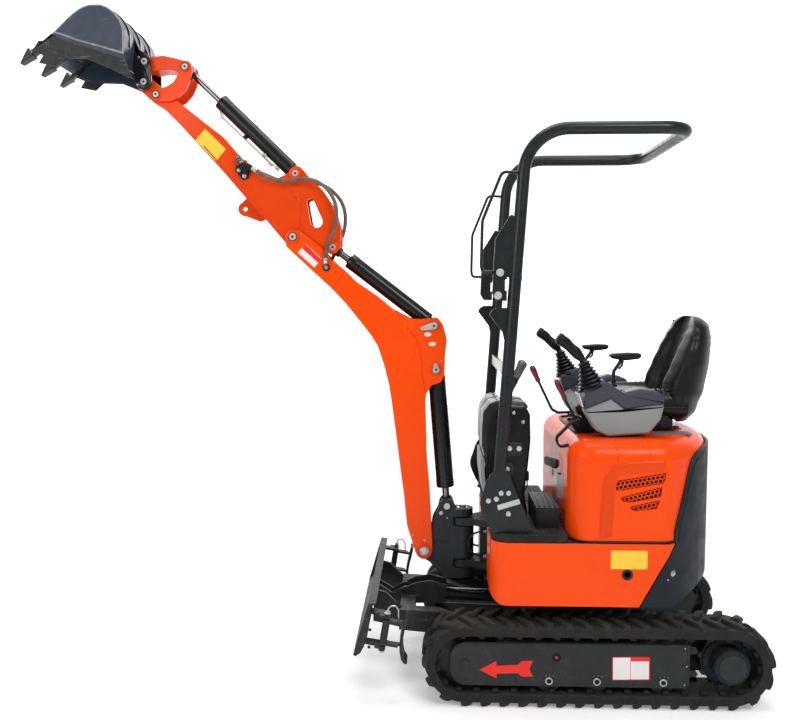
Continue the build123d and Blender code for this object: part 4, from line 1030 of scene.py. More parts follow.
for (d0, d1, y, off) in ((402, 96, 13, 37.5), (150, 60, 25, 33.0)):
    pts = [on_bc(d0, off - 6, y), on_bc(d0 - 6, off + 5, y + 1), on_bc(d0 - 26, off + 6, y + 2), on_bc(d1 + 24, off + 5, y + 2), on_bc(d1, off + 8, y + 4)]
    tube(b, fillet_path(pts, 14), 4.2, seg=12)
    hexhead(fit, on_bc(d0, 30, y), low + side * 0.15, 9, 9, washer=False)
    rev(fit, on_bc(d0 - 8, off + 5.2, y + 1.2), -ub, [(6.2, 0), (7.6, 1), (7.6, 10), (6.0, 12)], 6)
    rev(fit, on_bc(d1 + 22, off + 5.2, y + 2.2), -ub, [(5.8, 0), (7.2, 1), (7.2, 15), (5.6, 17)], 20)
make("bucket_cyl_lines", b, "silver", "bucket_barrel")
make("bucket_cyl_fittings", fit, "zinc", "bucket_barrel")
b = Bag()
for dd in (260, ):
    rev(b, on_bc(dd - 7, 0, 0), ub, [(32.2, 0), (33.4, 1), (33.4, 13), (32.2, 14)], 40, caps=False)
    abox_c = on_bc(dd, 37, 15)
    obox(b, abox_c, ub, side, low, 9, 9, 6, 1.5)
make("bucket_cyl_clamp", b, "black", "bucket_barrel")
# blade cylinder: port fitting and its thin line
b = Bag()
hexhead(b, (600 - 12, 12, 300), (0, 0.35, 1), 8, 9, washer=False)
rev(b, (585, 14, 314), (-1, 0.2, 0.1), [(5.0, 0), (6.4, 1), (6.4, 16), (4.6, 18)], 6)
make("blade_cyl_fitting", b, "zinc", "blade_barrel")
b = Bag()
tube(b, fillet_path([(585, 14, 314), (560, 18, 317), (520, 30, 313), (470, 34, 306), (400, 30, 304)], 20), 3.2, seg=10)
make("blade_cyl_line", b, "hose_black", "blade_barrel")

# ------------------------------------------------------------------ pins of the working gear
ring, head, dot, orng = Bag(), Bag(), Bag(), Bag()
for sy in (1, -1):
    for p, y, r in ((P_A, 66, 15), (P_BC, 66, 13), (P_AB, 66, 13)):
        pin_head(ring, head, dot, p, sy, y, r)
for sy in (1, -1):
    rev(orng, (P_A[0], sy * 63.6, P_A[1]), (0, sy, 0), [(29, 0), (28.6, 1.2), (26, 2.2), (19, 2.2)], 40)
    for p in (P_BC, P_AB):
        rev(orng, (p[0], sy * 59.0, p[1]), (0, sy, 0), [(26, 0), (25.6, 3.0), (23, 4.6), (16, 4.6)], 40)
    # tear-shaped pin retainers
make("boom_pin_rings", ring, "seal", "boom")
make("boom_pin_heads", head, "pinhead", "boom")
make("boom_pin_dots", dot, "frame", "boom")
make("boom_pin_bosses", orng, "orange_cast", "boom")
b = Bag()
for sy in (1, -1):
    for p, far in ((P_AB, (674, 1437)), (P_BC, (617, 1283))):
        d = Vector((far[0] - p[0], 0, far[1] - p[1]))
        L = d.length
        d.normalize()
        n = Vector((-d.z, 0, d.x))
        o = Vector((p[0], sy * 66.5, p[1]))
        pts = []
        for i in range(15):
            th = math.pi / 2 + math.pi * i / 14
            pts.append(o + d * (15.5 * math.cos(th)) + n * (15.5 * math.sin(th)))
        q = o + d * L
        for i in range(11):
            th = -math.pi / 2 + math.pi * i / 10
            pts.append(q + d * (8.5 * math.cos(th)) + n * (8.5 * math.sin(th)))
        slab(b, [(v.x, v.z) for v in pts], *((64.4, 67.4) if sy > 0 else (-67.4, -64.4)), c=0.8)
        hexhead(b, (q.x, sy * 67.3, q.z), (0, sy, 0), 6.2, 5, washer=False)
make("pin_retainers", b, "silver", "boom")
b = Bag()
f2 = Bag()
for sy in (1, -1):
    rev(b, (P_FOOT[0], sy * 63.5, P_FOOT[1]), (0, sy, 0), [(33.6, 0), (33.2, 1.6), (30, 3.2), (24, 3.4), (23, 1.2), (20, 1.2)], 44)
    hexhead(f2, (P_FOOT[0], sy * 65.0, P_FOOT[1]), (0, sy, 0), 14.5, 8)
    rev(f2, (P_FOOT[0] - 3, sy * 60, P_FOOT[1] + 47), (0, sy, 0), [(4.5, 0), (4.5, 3), (3, 4), (3, 8), (4, 9), (2.5, 12)], 10)
make("foot_bosses", b, "orange_cast", "boom")
make("foot_bolts", f2, "zinc", "boom")

# arm pins
ring, head, dot, orng, big = Bag(), Bag(), Bag(), Bag(), Bag()
for sy in (1, -1):
    for p, y, r in ((P_CB, 50, 13), (P_AR, 50, 13), (P_G, 66, 12.5)):
        pin_head(ring, head, dot, p, sy, y, r)
    for p in (P_CB, P_AR):
        rev(orng, (p[0], sy * 49.4, p[1]), (0, sy, 0), [(26.8, 0), (26.4, 1.2), (24, 2.2), (16, 2.2)], 40)
make("arm_pin_rings", ring, "seal", "arm")
make("arm_pin_heads", head, "pinhead", "arm")
make("arm_pin_dots", dot, "frame", "arm")
make("arm_pin_bosses", orng, "orange_cast", "arm")
ring, head, dot, orng = Bag(), Bag(), Bag(), Bag()
for sy in (1, -1):
    pin_head(ring, head, dot, P_E, sy, 64.6, 12.5)
    rev(orng, (P_E[0], sy * 63.8, P_E[1]), (0, sy, 0), [(20, 0), (19.8, 0.8), (18, 1.4), (15, 1.4)], 36)
    rev(orng, (P_G[0], sy * 58.8, P_G[1]), (0, sy, 0), [(25, 0), (24.4, 2.6), (22, 4.0), (15.5, 4.0)], 36)
make("link_pin_rings", ring, "seal", "guide")
make("link_pin_heads", head, "pinhead", "guide")
make("link_pin_dots", dot, "frame", "guide")
make("link_pin_bosses", orng, "orange_cast", "guide")

# ------------------------------------------------------------------ boom trim
b = Bag()
for sy in (1, -1):
    y = (60.0, 60.6) if sy > 0 else (-60.6, -60.0)
    slab(b, round_poly([(1160, 1788), (1192, 1752), (1124, 1690), (1093, 1726)], 3), *y)
make("boom_plate_white", b, "white", "boom")
b = Bag()
for sy in (1, -1):
    y = (60.4, 61.0) if sy > 0 else (-61.0, -60.4)
    slab(b, round_poly([(1160.5, 1786.5), (1175, 1770), (1107, 1709), (1094.5, 1724.5)], 2), *y)
make("boom_plate_red", b, "red", "boom")
b = Bag()
for sy in (1, -1):
    y = (60.0, 60.7) if sy > 0 else (-60.7, -60.0)
    for cx, cz in ((651, 1412), (632, 1372)):
        pts = [(cx + 15 * math.cos(a) * 0.94 + 5 * math.sin(a), cz + 8.0 * math.sin(a) - 3 * math.cos(a)) for a in [2 * math.pi * i / 24 for i in range(24)]]
        slab(b, pts, *y)
make("boom_ovals", b, "white", "boom")
# weld bead by the arm fork's doubler plate and weld lines along the cheeks
b = Bag()
for sy in (1, -1):
    line = catmull([(1052, sy * 60.2, 1599), (1026, sy * 60.3, 1632), (1008, sy * 60.3, 1660), (1000, sy * 60.2, 1677)], 6)
    tube(b, line, 2.0, seg=8)
    line = catmull([(660, sy * 60.2, 1170), (672, sy * 60.3, 1230), (679, sy * 60.3, 1320), (700, sy * 60.3, 1396), (748, sy * 60.3, 1452)], 6)
    tube(b, line, 1.4, seg=8)
make("boom_welds", b, "orange_cast", "boom")
b = Bag()
for sy in (1, -1):
    for x, z in ((592, 1300), (1180, 1826), (712, 560)):
        rev(b, (x, sy * 60, z), (0, sy, 0), [(3.6, 0), (3.6, 2.4), (2.4, 3.2), (2.4, 6.2), (3.2, 7.2), (1.6, 8.8)], 10)
make("boom_nipples", b, "zinc", "boom")

# ------------------------------------------------------------------ arm trim
b = Bag()
for sy in (1, -1):
    y = (45.0, 45.6) if sy > 0 else (-45.6, -45.0)
    slab(b, round_poly([(1577, 2264), (1491, 2180), (1533, 2131), (1617, 2217)], 4), *y)
make("arm_plate", b, "yellow", "arm")
low_edge = [(1743, 2344), (1677, 2277), (1593, 2186), (1509, 2094), (1408, 1977), (1329, 1892), (1262, 1812)]
b = Bag()
for sy in (1, -1):
    tube(b, [(x - 9.0, sy * 45.0, z + 8.5) for x, z in low_edge[2:]], 2.8, seg=8)
    tube(b, [(x + 6.5, sy * 45.0, z - 9) for x, z in [(1338, 2087), (1423, 2139), (1507, 2235), (1600, 2306)]], 1.4, seg=8)
    line = catmull([(1172, sy * 45.0, 1822), (1183, sy * 45.2, 1850), (1185, sy * 45.4, 1900), (1186, sy * 45.4, 1945), (1192, sy * 45.4, 1975), (1206, sy * 45.3, 1996), (1224, sy * 45.0, 2004)], 8)
    tube(b, line, [3.2 + 0.5 * math.sin(i * 1.9) for i in range(len(line))], seg=8)
make("arm_welds", b, "orange_cast", "arm")
# the ring around the slot is cut from the same outline: outer minus inner as a band
band = Bag()
outer = [(1140 + 19.5 * math.cos(a), 1961 + 19.5 * math.sin(a)) for a in [math.radians(-10.2 + k * 165.6 / 14) for k in range(15)]]
outer += [(1115 + 30 * math.cos(a), 1881 + 30 * math.sin(a)) for a in [math.radians(155.4 + k * 194.4 / 18) for k in range(19)]]
inner = offset_poly(outer, 4.5)
outer2 = offset_poly(outer, -0.5)
for sy in (1, -1):
    n = len(outer2)
    for (yo, yi) in (((45.5 * sy), (33.2 * sy)),):
        vs = [(p[0], yo, p[1]) for p in outer2] + [(p[0], yo, p[1]) for p in inner] + [(p[0], yi, p[1]) for p in inner]
        fs = []
        for i in range(n):
            j = (i + 1) % n
            fs.append((i, j, n + j, n + i))
            fs.append((n + i, n + j, 2 * n + j, 2 * n + i))
        band.add(vs, fs)
make("arm_slot_liner", band, "orange_arm", "arm")
b = Bag()
for sy in (1, -1):
    rev(b, (1421, sy * 8.0, 1937), (0, sy, 0), [(14, 0), (13.6, 0.8), (11, 1.0), (9.2, 0.6)], 28, caps=False)
make("ear_rings", b, "orange_cast", "arm")

# ------------------------------------------------------------------ king post trim
b = Bag()
for sy in (1, -1):
    rev(b, (P_K[0], sy * 45.6, P_K[1]), (0, sy, 0), [(22, 0), (21.4, 2.4), (18, 3.4), (14.5, 3.4)], 36)
make("post_bosses", b, "post", "king_post")
b = Bag()
for sy in (1, -1):
    rev(b, (P_K[0], sy * 48.4, P_K[1]), (0, sy, 0), [(14, 0), (14, 2.4), (12.6, 3.6), (5, 3.6), (4.4, 2.6)], 32)
    hexhead(b, (P_K[0] + 24, sy * 45.8, P_K[1] - 30), (0, sy, 0), 7, 5)
    rev(b, (P_K[0] - 2, sy * 46, 632), (0, sy, 0), [(3.6, 0), (3.6, 2.4), (2.4, 3.2), (2.4, 6.2), (3.2, 7.2), (1.6, 8.8)], 10)
make("post_bolts", b, "zinc", "king_post")
b = Bag()
for sy in (1, -1):
    tube(b, catmull([(552, sy * 46.2, 536), (580, sy * 46.6, 533), (610, sy * 46.6, 534), (634, sy * 46.2, 540)], 6), 2.2, seg=8)
    tube(b, catmull([(536, sy * 46.2, 400), (580, sy * 46.5, 420), (630, sy * 46.5, 462), (640, sy * 46.2, 492)], 6), 2.0, seg=8)
make("post_welds", b, "post", "king_post")
b = Bag()
hexhead(b, (500, 0, 667), (0, 0, 1), 17, 11)
make("post_top_bolt", b, "zinc", "king_post")

# ------------------------------------------------------------------ bucket
shell_o = [(2211, 2553), (2136, 2612), (2094, 2652), (2052, 2688), (2020, 2708), (1985, 2719), (1950, 2719), (1918, 2708), (1890, 2687), (1866, 2652), (1856, 2618),
           (1856, 2585), (1862, 2530), (1868, 2490)]
shell_i = [(2207, 2545), (2131, 2606), (2089, 2645), (2047, 2681), (2017, 2700), (1984, 2711), (1952, 2711), (1922, 2701), (1896, 2681), (1874, 2648), (1864, 2616),
           (1864, 2586), (1870, 2532), (1876, 2493)]


def smooth2(pts, per=4):
    return [(v.x, v.z) for v in catmull([(x, 0, z) for x, z in pts], per)]


so, si = [(x, min(z, 2718.8)) for x, z in smooth2(shell_o)], smooth2(shell_i)
b = Bag()
n = len(so)
vs, fs = [], []
cols = 9
for c_ in range(cols):
    y = -200 + 400 * c_ / (cols - 1)
    for p in so:
        vs.append((p[0], y, p[1]))
    for p in si:
        vs.append((p[0], y, p[1]))
for c_ in range(cols - 1):
    a0, a1 = c_ * 2 * n, (c_ + 1) * 2 * n
    for i in range(n - 1):
        fs.append((a0 + i, a0 + i + 1, a1 + i + 1, a1 + i))
        fs.append((a0 + n + i, a1 + n + i, a1 + n + i + 1, a0 + n + i + 1))
    fs.append((a0, a1, a1 + n, a0 + n))
    fs.append((a0 + n - 1, a0 + 2 * n - 1, a1 + 2 * n - 1, a1 + n - 1))
for a0 in (0, (cols - 1) * 2 * n):
    for i in range(n - 1):
        fs.append((a0 + i, a0 + n + i, a0 + n + i + 1, a0 + i + 1))
b.add(vs, fs)
side_pts = [(2219, 2548), (2207, 2562)] + [p for p in smooth2([(2136, 2612), (2094, 2652), (2052, 2688), (2020, 2708), (1985, 2719), (1950, 2719), (1918, 2708), (1890, 2687), (1866, 2652), (1856, 2618), (1856, 2585)])] + [
    (1858, 2520), (1849, 2494), (1822, 2432), (1850, 2444), (1914, 2476), (2005, 2514), (2097, 2518), (2130, 2512)]
side_pts = [(x, min(z, 2718.6)) for x, z in side_pts]
slab(b, side_pts, 192.4, 199.8, c=1.2)
slab(b, side_pts, -199.8, -192.4, c=1.2)
o = make("bucket_shell", b, "bucket", "bucket", angle=32)
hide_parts("bucket")
b = Bag()
strip_pts = [(2226, 2544), (2140, 2606), (2126, 2590), (1856, 2508), (1848, 2496), (1822, 2430), (1850, 2440), (1914, 2472), (2005, 2509), (2097, 2513), (2135, 2506)]
slab(b, strip_pts, 199.2, 207, c=1.4)
cut_pts = [(2195, 2494), (2172, 2531), (2150, 2558), (2100, 2529), (2091, 2513), (2128, 2481)]
slab(b, cut_pts, 199.4, 206.8, c=1.2)
slab(b, cut_pts, -206.8, -199.4, c=1.2)
slab(b, strip_pts, -207, -199.2, c=1.4)
slab(b, [(2216, 2546), (2206, 2556), (2140, 2608), (2130, 2600)], -207, 207, c=1.0)
make("bucket_cutters", b, "blade", "bucket")
b = Bag()
# weld beads around the side plates
wl = [(2136, 2609), (2094, 2649), (2052, 2685), (2020, 2705), (1985, 2716), (1950, 2716), (1918, 2705), (1892, 2684), (1869, 2651), (1859.5, 2618), (1859, 2585), (1861, 2530)]
wl = [Vector((v.x, 0, min(v.z, 2715.4))) for v in catmull([(x, 0, z) for x, z in wl], 9)]
for sy in (1, -1):
    pts = [(p.x, sy * (200.4 + 0.5 * math.sin(i * 2.1)), p.z) for i, p in enumerate(wl)]
    tube(b, pts, [2.6 + 0.5 * math.sin(i * 2.6) for i in range(len(pts))], seg=8)
w2 = [Vector(q) for q in catmull([(1856, 0, 2530), (1905, 0, 2544), (1950, 0, 2557), (2000, 0, 2571), (2049, 0, 2585), (2090, 0, 2601), (2130, 0, 2613)], 14)]
for sy in (1, -1):
    pts = [(p.x, sy * (200.2 + 0.5 * math.sin(i * 2.1)), p.z) for i, p in enumerate(w2)]
    tube(b, pts, [4.6 + 0.7 * math.sin(i * 2.3) for i in range(len(pts))], seg=8)
make("bucket_welds", b, "weld", "bucket", angle=60)
b = Bag()
for y in (-182, 0, 182):
    # two-part tooth: adapter and point
    ad = [(2232, 2520), (2214, 2556), (2196, 2582), (2172, 2580), (2168, 2572), (2200, 2544), (2222, 2527)]
    slab(b, ad, y - 21, y + 21, c=2.5)
    vs, fs = [], []
    secs = [((2236.5, 2548.0), (2221.5, 2524.5), 21), ((2239, 2555), (2218, 2522), 21), ((2256, 2528), (2246, 2508), 20), ((2272, 2500), (2268, 2494), 17), ((2275, 2495), (2273.5, 2492.5), 16)]
    for (u1, u2, w) in secs:
        for p, q in ((u1, -1), (u1, 1), (u2, 1), (u2, -1)):
            vs.append((p[0], y + q * w, p[1]))
    for i in range(len(secs) - 1):
        for k in range(4):
            l = (k + 1) % 4
            fs.append((i * 4 + k, i * 4 + l, (i + 1) * 4 + l, (i + 1) * 4 + k))
    fs.append((3, 2, 1, 0))
    fs.append(tuple(range((len(secs) - 1) * 4, len(secs) * 4)))
    b.add(vs, fs)
    cyl(b, (2214, y - 21.6, 2546), (2214, y + 21.6, 2546), 4.5, 1.0, 14)
make("bucket_teeth", b, "tooth", "bucket", bevel=1.2, bseg=1)
b = Bag()
ears = round_poly([(1905, 2690, 10), (1862, 2646, 6), (1836, 2580, 30), (1796, 2554, 20), (1790, 2520, 10), (1790, 2440, 10), (1806, 2418, 18), (1846, 2420, 18), (1858, 2450, 10), (1863, 2500, 10), (1858, 2560, 2), (1857, 2612, 2), (1868, 2652, 2), (1892, 2686, 2)], 6, 5)
for y0, y1 in ((61, 73), (-73, -61)):
    slab(b, ears, y0, y1, c=1.6)
# wear ribs on the back of the shell
for y in (-128, 0, 128):
    rib = [p for p in so if 1857 <= p[0] <= 1968 and p[1] > 2560]
    for q0, q1 in zip(rib[:-1], rib[1:]):
        pass
    cx, cz = 1985.0, 2588.0
    outer = []
    for p in rib:
        d = Vector((p[0] - cx, p[1] - cz)).normalized()
        outer.append((max(p[0] + d.x * 5.0, 1851.0), min(p[1] + d.y * 5.0, 2718.9)))
    inner = [(p[0] * 0.999 + cx * 0.001, p[1] * 0.999 + cz * 0.001) for p in rib]
    for k in range(len(rib) - 1):
        quad = [inner[k], inner[k + 1], outer[k + 1], outer[k]]
        slab(b, quad, y - 6, y + 6, c=0.0)
cyl(b, (P_B[0], -61.5, P_B[1]), (P_B[0], -46, P_B[1]), 24, 1.5, 32)
cyl(b, (P_B[0], 46, P_B[1]), (P_B[0], 61.5, P_B[1]), 24, 1.5, 32)
cyl(b, (P_U[0], -61.5, P_U[1]), (P_U[0], -45, P_U[1]), 22, 1.5, 32)
cyl(b, (P_U[0], 45, P_U[1]), (P_U[0], 61.5, P_U[1]), 22, 1.5, 32)
for p in (P_B, P_U):
    for sy in (1, -1):
        rev(b, (p[0], sy * 72.6, p[1]), (0, sy, 0), [(24, 0), (23.4, 1.6), (20, 2.4), (14, 2.4)], 36)
make("bucket_ears", b, "bucket_black", "bucket")
b = Bag()
for p in (P_B, P_U):
    cyl(b, (p[0], -76, p[1]), (p[0], 76, p[1]), 14.8, 1.0, 32)
make("bucket_pins", b, "steel", "bucket")
ring, head, dot = Bag(), Bag(), Bag()
for sy in (1, -1):
    for p in (P_B, P_U):
        pin_head(ring, head, dot, p, sy, 74.9, 12.5)
make("bucket_pin_rings", ring, "seal", "bucket")
make("bucket_pin_heads", head, "pinhead", "bucket")
make("bucket_pin_dots", dot, "frame", "bucket")
b = Bag()
for sy in (1, -1):
    for p in ((1846, 2438), (1839, 2548)):
        hexhead(b, (p[0], sy * 73, p[1]), (0, sy, 0), 5.0, 4, washer=False)
make("bucket_ear_bolts", b, "zinc", "bucket")


# ------------------------------------------------------------------ side skirts, hood and counterweight trim
for k, sy in ((0, 1), (1, -1)):
    t = "lr"[k]
    b = Bag()
    slab(b, round_poly([(-41, 616), (-178, 616), (-178, 545), (-41, 545)], 5), *((440.0, 440.5) if sy > 0 else (-440.5, -440.0)))
    if sy > 0:
        make("skirt_plate", b, "yellow", "upper")
b = Bag()
rev(b, (-104, 439.6, 523), (0, 1, 0), [(21, 0), (21, 1.6), (18.5, 2.6), (12, 1.2), (11, 0.4)], 36)
for i in range(12):
    a = 2 * math.pi * i / 12
    obox(b, (-104 + 15.5 * math.cos(a), 441.6, 523 + 15.5 * math.sin(a)), (math.cos(a), 0, math.sin(a)), (-math.sin(a), 0, math.cos(a)), (0, 1, 0), 2.2, 1.2, 0.8, 0.3)
make("fuel_cap", b, "seal", "upper")
b = Bag()
for sy in (1, -1):
    nt_ = Vector((-0.544, sy * 0.839, 0))
    rev(b, Vector((-277, sy * 426.9, 527)) - nt_ * 0.6, nt_, [(17, 0), (17.4, 0.8), (15.2, 1.4), (12, 0.6)], 30)
make("weight_bolt_seats", b, "seal", "upper")
b = Bag()
for sy in (1, -1):
    nt_ = Vector((-0.544, sy * 0.839, 0))
    hexhead(b, Vector((-277, sy * 426.9, 527)), nt_, 8.6, 4.5)
    rev(b, (-256, sy * 439.4, 505), (0, sy, 0), [(3, 0), (3, 0.8), (1.5, 1.2)], 10)
make("weight_bolts", b, "zinc", "upper")

# rubber edge along the joints of hood, skirt and counterweight
joint_line = [(-288, 643), (-290, 690), (-306, 749), (-324, 814), (-341, 879), (-356, 928), (-380, 960), (-420, 975), (-460, 981), (-490, 985), (-503, 987)]


def body_y(x, off=0.0):
    """half width of the upper body at x: straight sides, round tail"""
    lim = math.sqrt(max(0.0, 509.0 ** 2 - x * x))
    return min(440.0, lim) + off


def hood_y(x):
    return min(430.0, math.sqrt(max(0.0, 499.0 ** 2 - x * x)))


for k, sy in ((0, 1), (1, -1)):
    t = "lr"[k]
    b = Bag()
    pts = [(x, sy * min(431.0, math.sqrt(max(0.0, 503.0 ** 2 - x * x))), z) for x, z in joint_line]
    tube(b, catmull(pts, 6), 6.2, seg=12)
    bot = [(x, sy * (hood_y(x) + 1.4), 645.5) for x in (-286, -272, -258, -240, -160, -60, 20)]
    tube(b, bot, 4.2, seg=10)
    arc = [(20 + 92 * math.sin(a), sy * (338 + 92 * math.cos(a) + 0.6), 645) for a in [math.pi / 2 * i / 10 for i in range(11)]]
    tube(b, arc, 4.2, seg=10)
    make("body_seal_" + t, b, "seal", "upper")
    # thin line in the counterweight's slate paint on its face beside the hood
    b = Bag()
    off = [(x - 15 - (6 if z > 900 else 0), z - (12 if z > 950 else 0)) for x, z in joint_line[:-3]]
    line = [(x, sy * (body_y(x) + 0.3), z) for x, z in off]
    tube(b, catmull(line, 6), 2.2, seg=8)
    make("weight_line_" + t, b, "slate", "upper")

# perforated vents: hexagonal holes in an orange sheet just inside the hood's wall, with a deep black sheet behind them
# as painted shade of the hood's inside
VENTS = [[(-57, 879), (-245, 911), (-235, 871), (-87, 844), (-48, 843), (-46, 874)], [(-73, 815), (-230, 858), (-225, 820), (-118, 798), (-88, 800)], [(-109, 781), (-222, 807), (-211, 774), (-126, 764)]]
P_HEX = 16.5


def inside_poly(x, z, poly):
    c_ = False
    for i in range(len(poly)):
        (x0, z0), (x1, z1) = poly[i - 1], poly[i]
        if (z0 > z) != (z1 > z) and x < (x1 - x0) * (z - z0) / (z1 - z0) + x0:
            c_ = not c_
    return c_


for k, sy in ((0, 1), (1, -1)):
    t = "lr"[k]
    b = Bag()
    dark = Bag()
    for poly in VENTS:
        grown = offset_poly(poly, -7.5)
        x0, x1 = min(p[0] for p in grown), max(p[0] for p in grown)
        z0, z1 = min(p[1] for p in grown), max(p[1] for p in grown)
        # rows follow the slope of the upper edge
        (xa, za), (xb, zb) = poly[0], poly[1]
        ang = math.atan2(zb - za, xb - xa)
        ux, uz = math.cos(ang), math.sin(ang)
        rows = int((z1 - z0) / (P_HEX * 0.866)) + 14
        cols = int((x1 - x0) / P_HEX) + 8
        for r in range(-rows, rows):
            for c_ in range(-3, cols):
                a_ = (c_ + 0.5 * (r % 2)) * P_HEX
                d_ = r * P_HEX * 0.866
                x = xa + ux * a_ - uz * d_
                z = za + uz * a_ + ux * d_
                if not inside_poly(x, z, grown):
                    continue
                vs, fs = [], []
                R0, R1 = P_HEX / 2 / math.cos(math.pi / 6), P_HEX / 2 * 0.86
                for ri, yy in ((R0, 423.4), (R1, 423.4), (R1 * 0.97, 420.4)):
                    for j in range(6):
                        a2 = math.pi / 6 + math.pi * j / 3 + ang
                        vs.append((x + ri * math.cos(a2), sy * yy, z + ri * math.sin(a2)))
                for q in range(2):
                    for j in range(6):
                        l = (j + 1) % 6
                        fs.append((q * 6 + j, q * 6 + l, (q + 1) * 6 + l, (q + 1) * 6 + j))
                b.add(vs, fs)
        # deep black sheet behind the holes: painted shade inside the hood
        slab(dark, offset_poly(poly, -6), *((416.0, 418.0) if sy > 0 else (-418.0, -416.0)))
    make("hood_vents_" + t, b, "orange", "upper", angle=25)
    make("hood_vent_painted_shade_" + t, dark, "dark", "upper")
    b = Bag()
    for poly in VENTS:
        o1 = round_poly([(p[0], p[1], 3) for p in poly], 3, 4)
        o2 = offset_poly(o1, -2.2)
        n = len(o1)
        vs = [(p[0], sy * 424.2, p[1]) for p in o1] + [(p[0], sy * 429.4, p[1]) for p in o1] + [(p[0], sy * 430.5, p[1]) for p in offset_poly(o1, -0.9)] + [(p[0], sy * 430.1, p[1]) for p in o2]
        fs = []
        for q in range(3):
            for i in range(n):
                j = (i + 1) % n
                fs.append((q * n + i, q * n + j, (q + 1) * n + j, (q + 1) * n + i))
        b.add(vs, fs)
    make("hood_vent_rims_" + t, b, "orange", "upper", angle=60)
    # pressed panel line of the hood: a raised strip whose darker orange is painted shade of the step
    b = Bag()
    raw = [(-9, 668), (-9, 690), (-11, 740), (-14, 807), (-19, 858), (-25, 898), (-41, 926), (-78, 937), (-145, 946), (-205, 949), (-232, 949)]
    line = [Vector(q) for q in catmull([(x, 0, z) for x, z in raw], 6)]
    vs, fs = [], []
    prof_ = [(-12, 0.0), (-5, 6.6), (1, 8.6), (9, 7.6), (40, 0.0)]
    m = len(prof_)
    for i, p in enumerate(line):
        a_, c_ = line[max(0, i - 1)], line[min(len(line) - 1, i + 1)]
        tt = (c_ - a_).normalized()
        nn = Vector((-tt.z, 0, tt.x))
        for w_, h_ in prof_:
            q = p + nn * w_
            vs.append((q.x, sy * (429.9 + h_), q.z))
    for i in range(len(line) - 1):
        for j in range(m - 1):
            fs.append((i * m + j, i * m + j + 1, (i + 1) * m + j + 1, (i + 1) * m + j))
    b.add(vs, fs)
    # the darker orange of this strip is painted shade along the panel's step
    make("hood_panel_line_painted_shade_" + t, b, "orange_arm", "upper", angle=80)
    # seat base flanges on the shoulder
    b = Bag()
    for x in (-62, -184):
        line = []
        for i in range(9):
            a_ = math.pi / 2 * i / 8
            line.append((x, sy * (358 + 72.5 * math.sin(a_)), 956 + 72.5 * math.cos(a_)))
        tube(b, line, 1.9, seg=8)
    make("hood_shoulder_lines_" + t, b, "orange", "upper")

# front of the hood: grab recess as a flat darker orange patch that paints the recess's shade, black handle, blank plate
b = Bag()
vs, fs = [], []
out = round_poly([(-300, 790), (200, 850), (240, 925), (150, 935), (-300, 872)], 26, 6)
slab(b, out, 112.0, 112.6, axis="x", c2=0.4)
# the darker orange of this flat patch is painted shade of the grab recess
make("hood_recess_painted_shade", b, "orange_cast", "upper")
b = Bag()
out = round_poly([(-250, 806), (60, 850), (116, 868), (112, 899), (-250, 845)], 14, 6)
slab(b, out, 112.4, 120.0, axis="x", c2=4.0)
slab(b, [(-30, 802), (-18, 804), (-18, 846), (-30, 844)], 112.2, 114.0, axis="x", c2=0.6)
make("hood_handle", b, "dark", "upper")
b = Bag()
slab(b, round_poly([(88, 734), (256, 768), (258, 872), (90, 840)], 5), 112.0, 112.6, axis="x", c2=0.2)
make("hood_plate", b, "silver", "upper")

# grey pad under the latch: its grey is a painted highlight on the hood top
b = Bag()
slab(b, round_poly([(-392, 52), (-318, 52), (-318, 118), (-392, 118)], 12), 1027.4, 1030.0, axis="z", c2=1.0)
make("hood_latch_painted_highlight", b, "pad_grey", "upper")
b = Bag()
slab(b, round_poly([(-378, 66), (-334, 66), (-334, 104), (-378, 104)], 8), 1029.8, 1036.0, axis="z", c2=2.4)
make("hood_latch", b, "grip", "upper")

# ------------------------------------------------------------------ floor mat tread and step box
b = Bag()
for i in range(9):
    for j in range(28):
        x, y = 238 + i * 18.0, -420 + j * 31.0
        if abs(y + 12) < 168 and x > 228:
            continue
        if abs(abs(y + 12) - 380) < 44 and x > 300:
            continue
        if x > 360 and abs(y + 12) > 392:
            continue
        abox(b, x, x + 11, y, y + 24, 667.6, 670.2, 0.8)
for j in range(28):
    y = -420 + j * 31.0
    if not 55 < y + 12 < 335:
        for i in range(5):
            abox(b, 130 + i * 18.0, 141 + i * 18.0, y, y + 24, 667.6, 670.2, 0.8)
make("mat_tread", b, "mat", "upper")
b = Bag()
for i in range(4):
    abox(b, 147 + i * 20, 158 + i * 20, 70, 320, 749.6, 752.0, 0.8)
for z in (696, 722):
    abox(b, 225.6, 227.4, 66, 324, z, z + 3, 0.6)
slab(b, round_poly([(66, 675), (324, 675), (324, 744), (66, 744)], 10), 225.8, 227.6, axis="x", c2=0.8)
slab(b, round_poly([(146, 675), (218, 675), (218, 744), (146, 744)], 8), 329.6, 331.4, c2=0.8)
make("step_trim", b, "plastic", "upper", bevel=0)

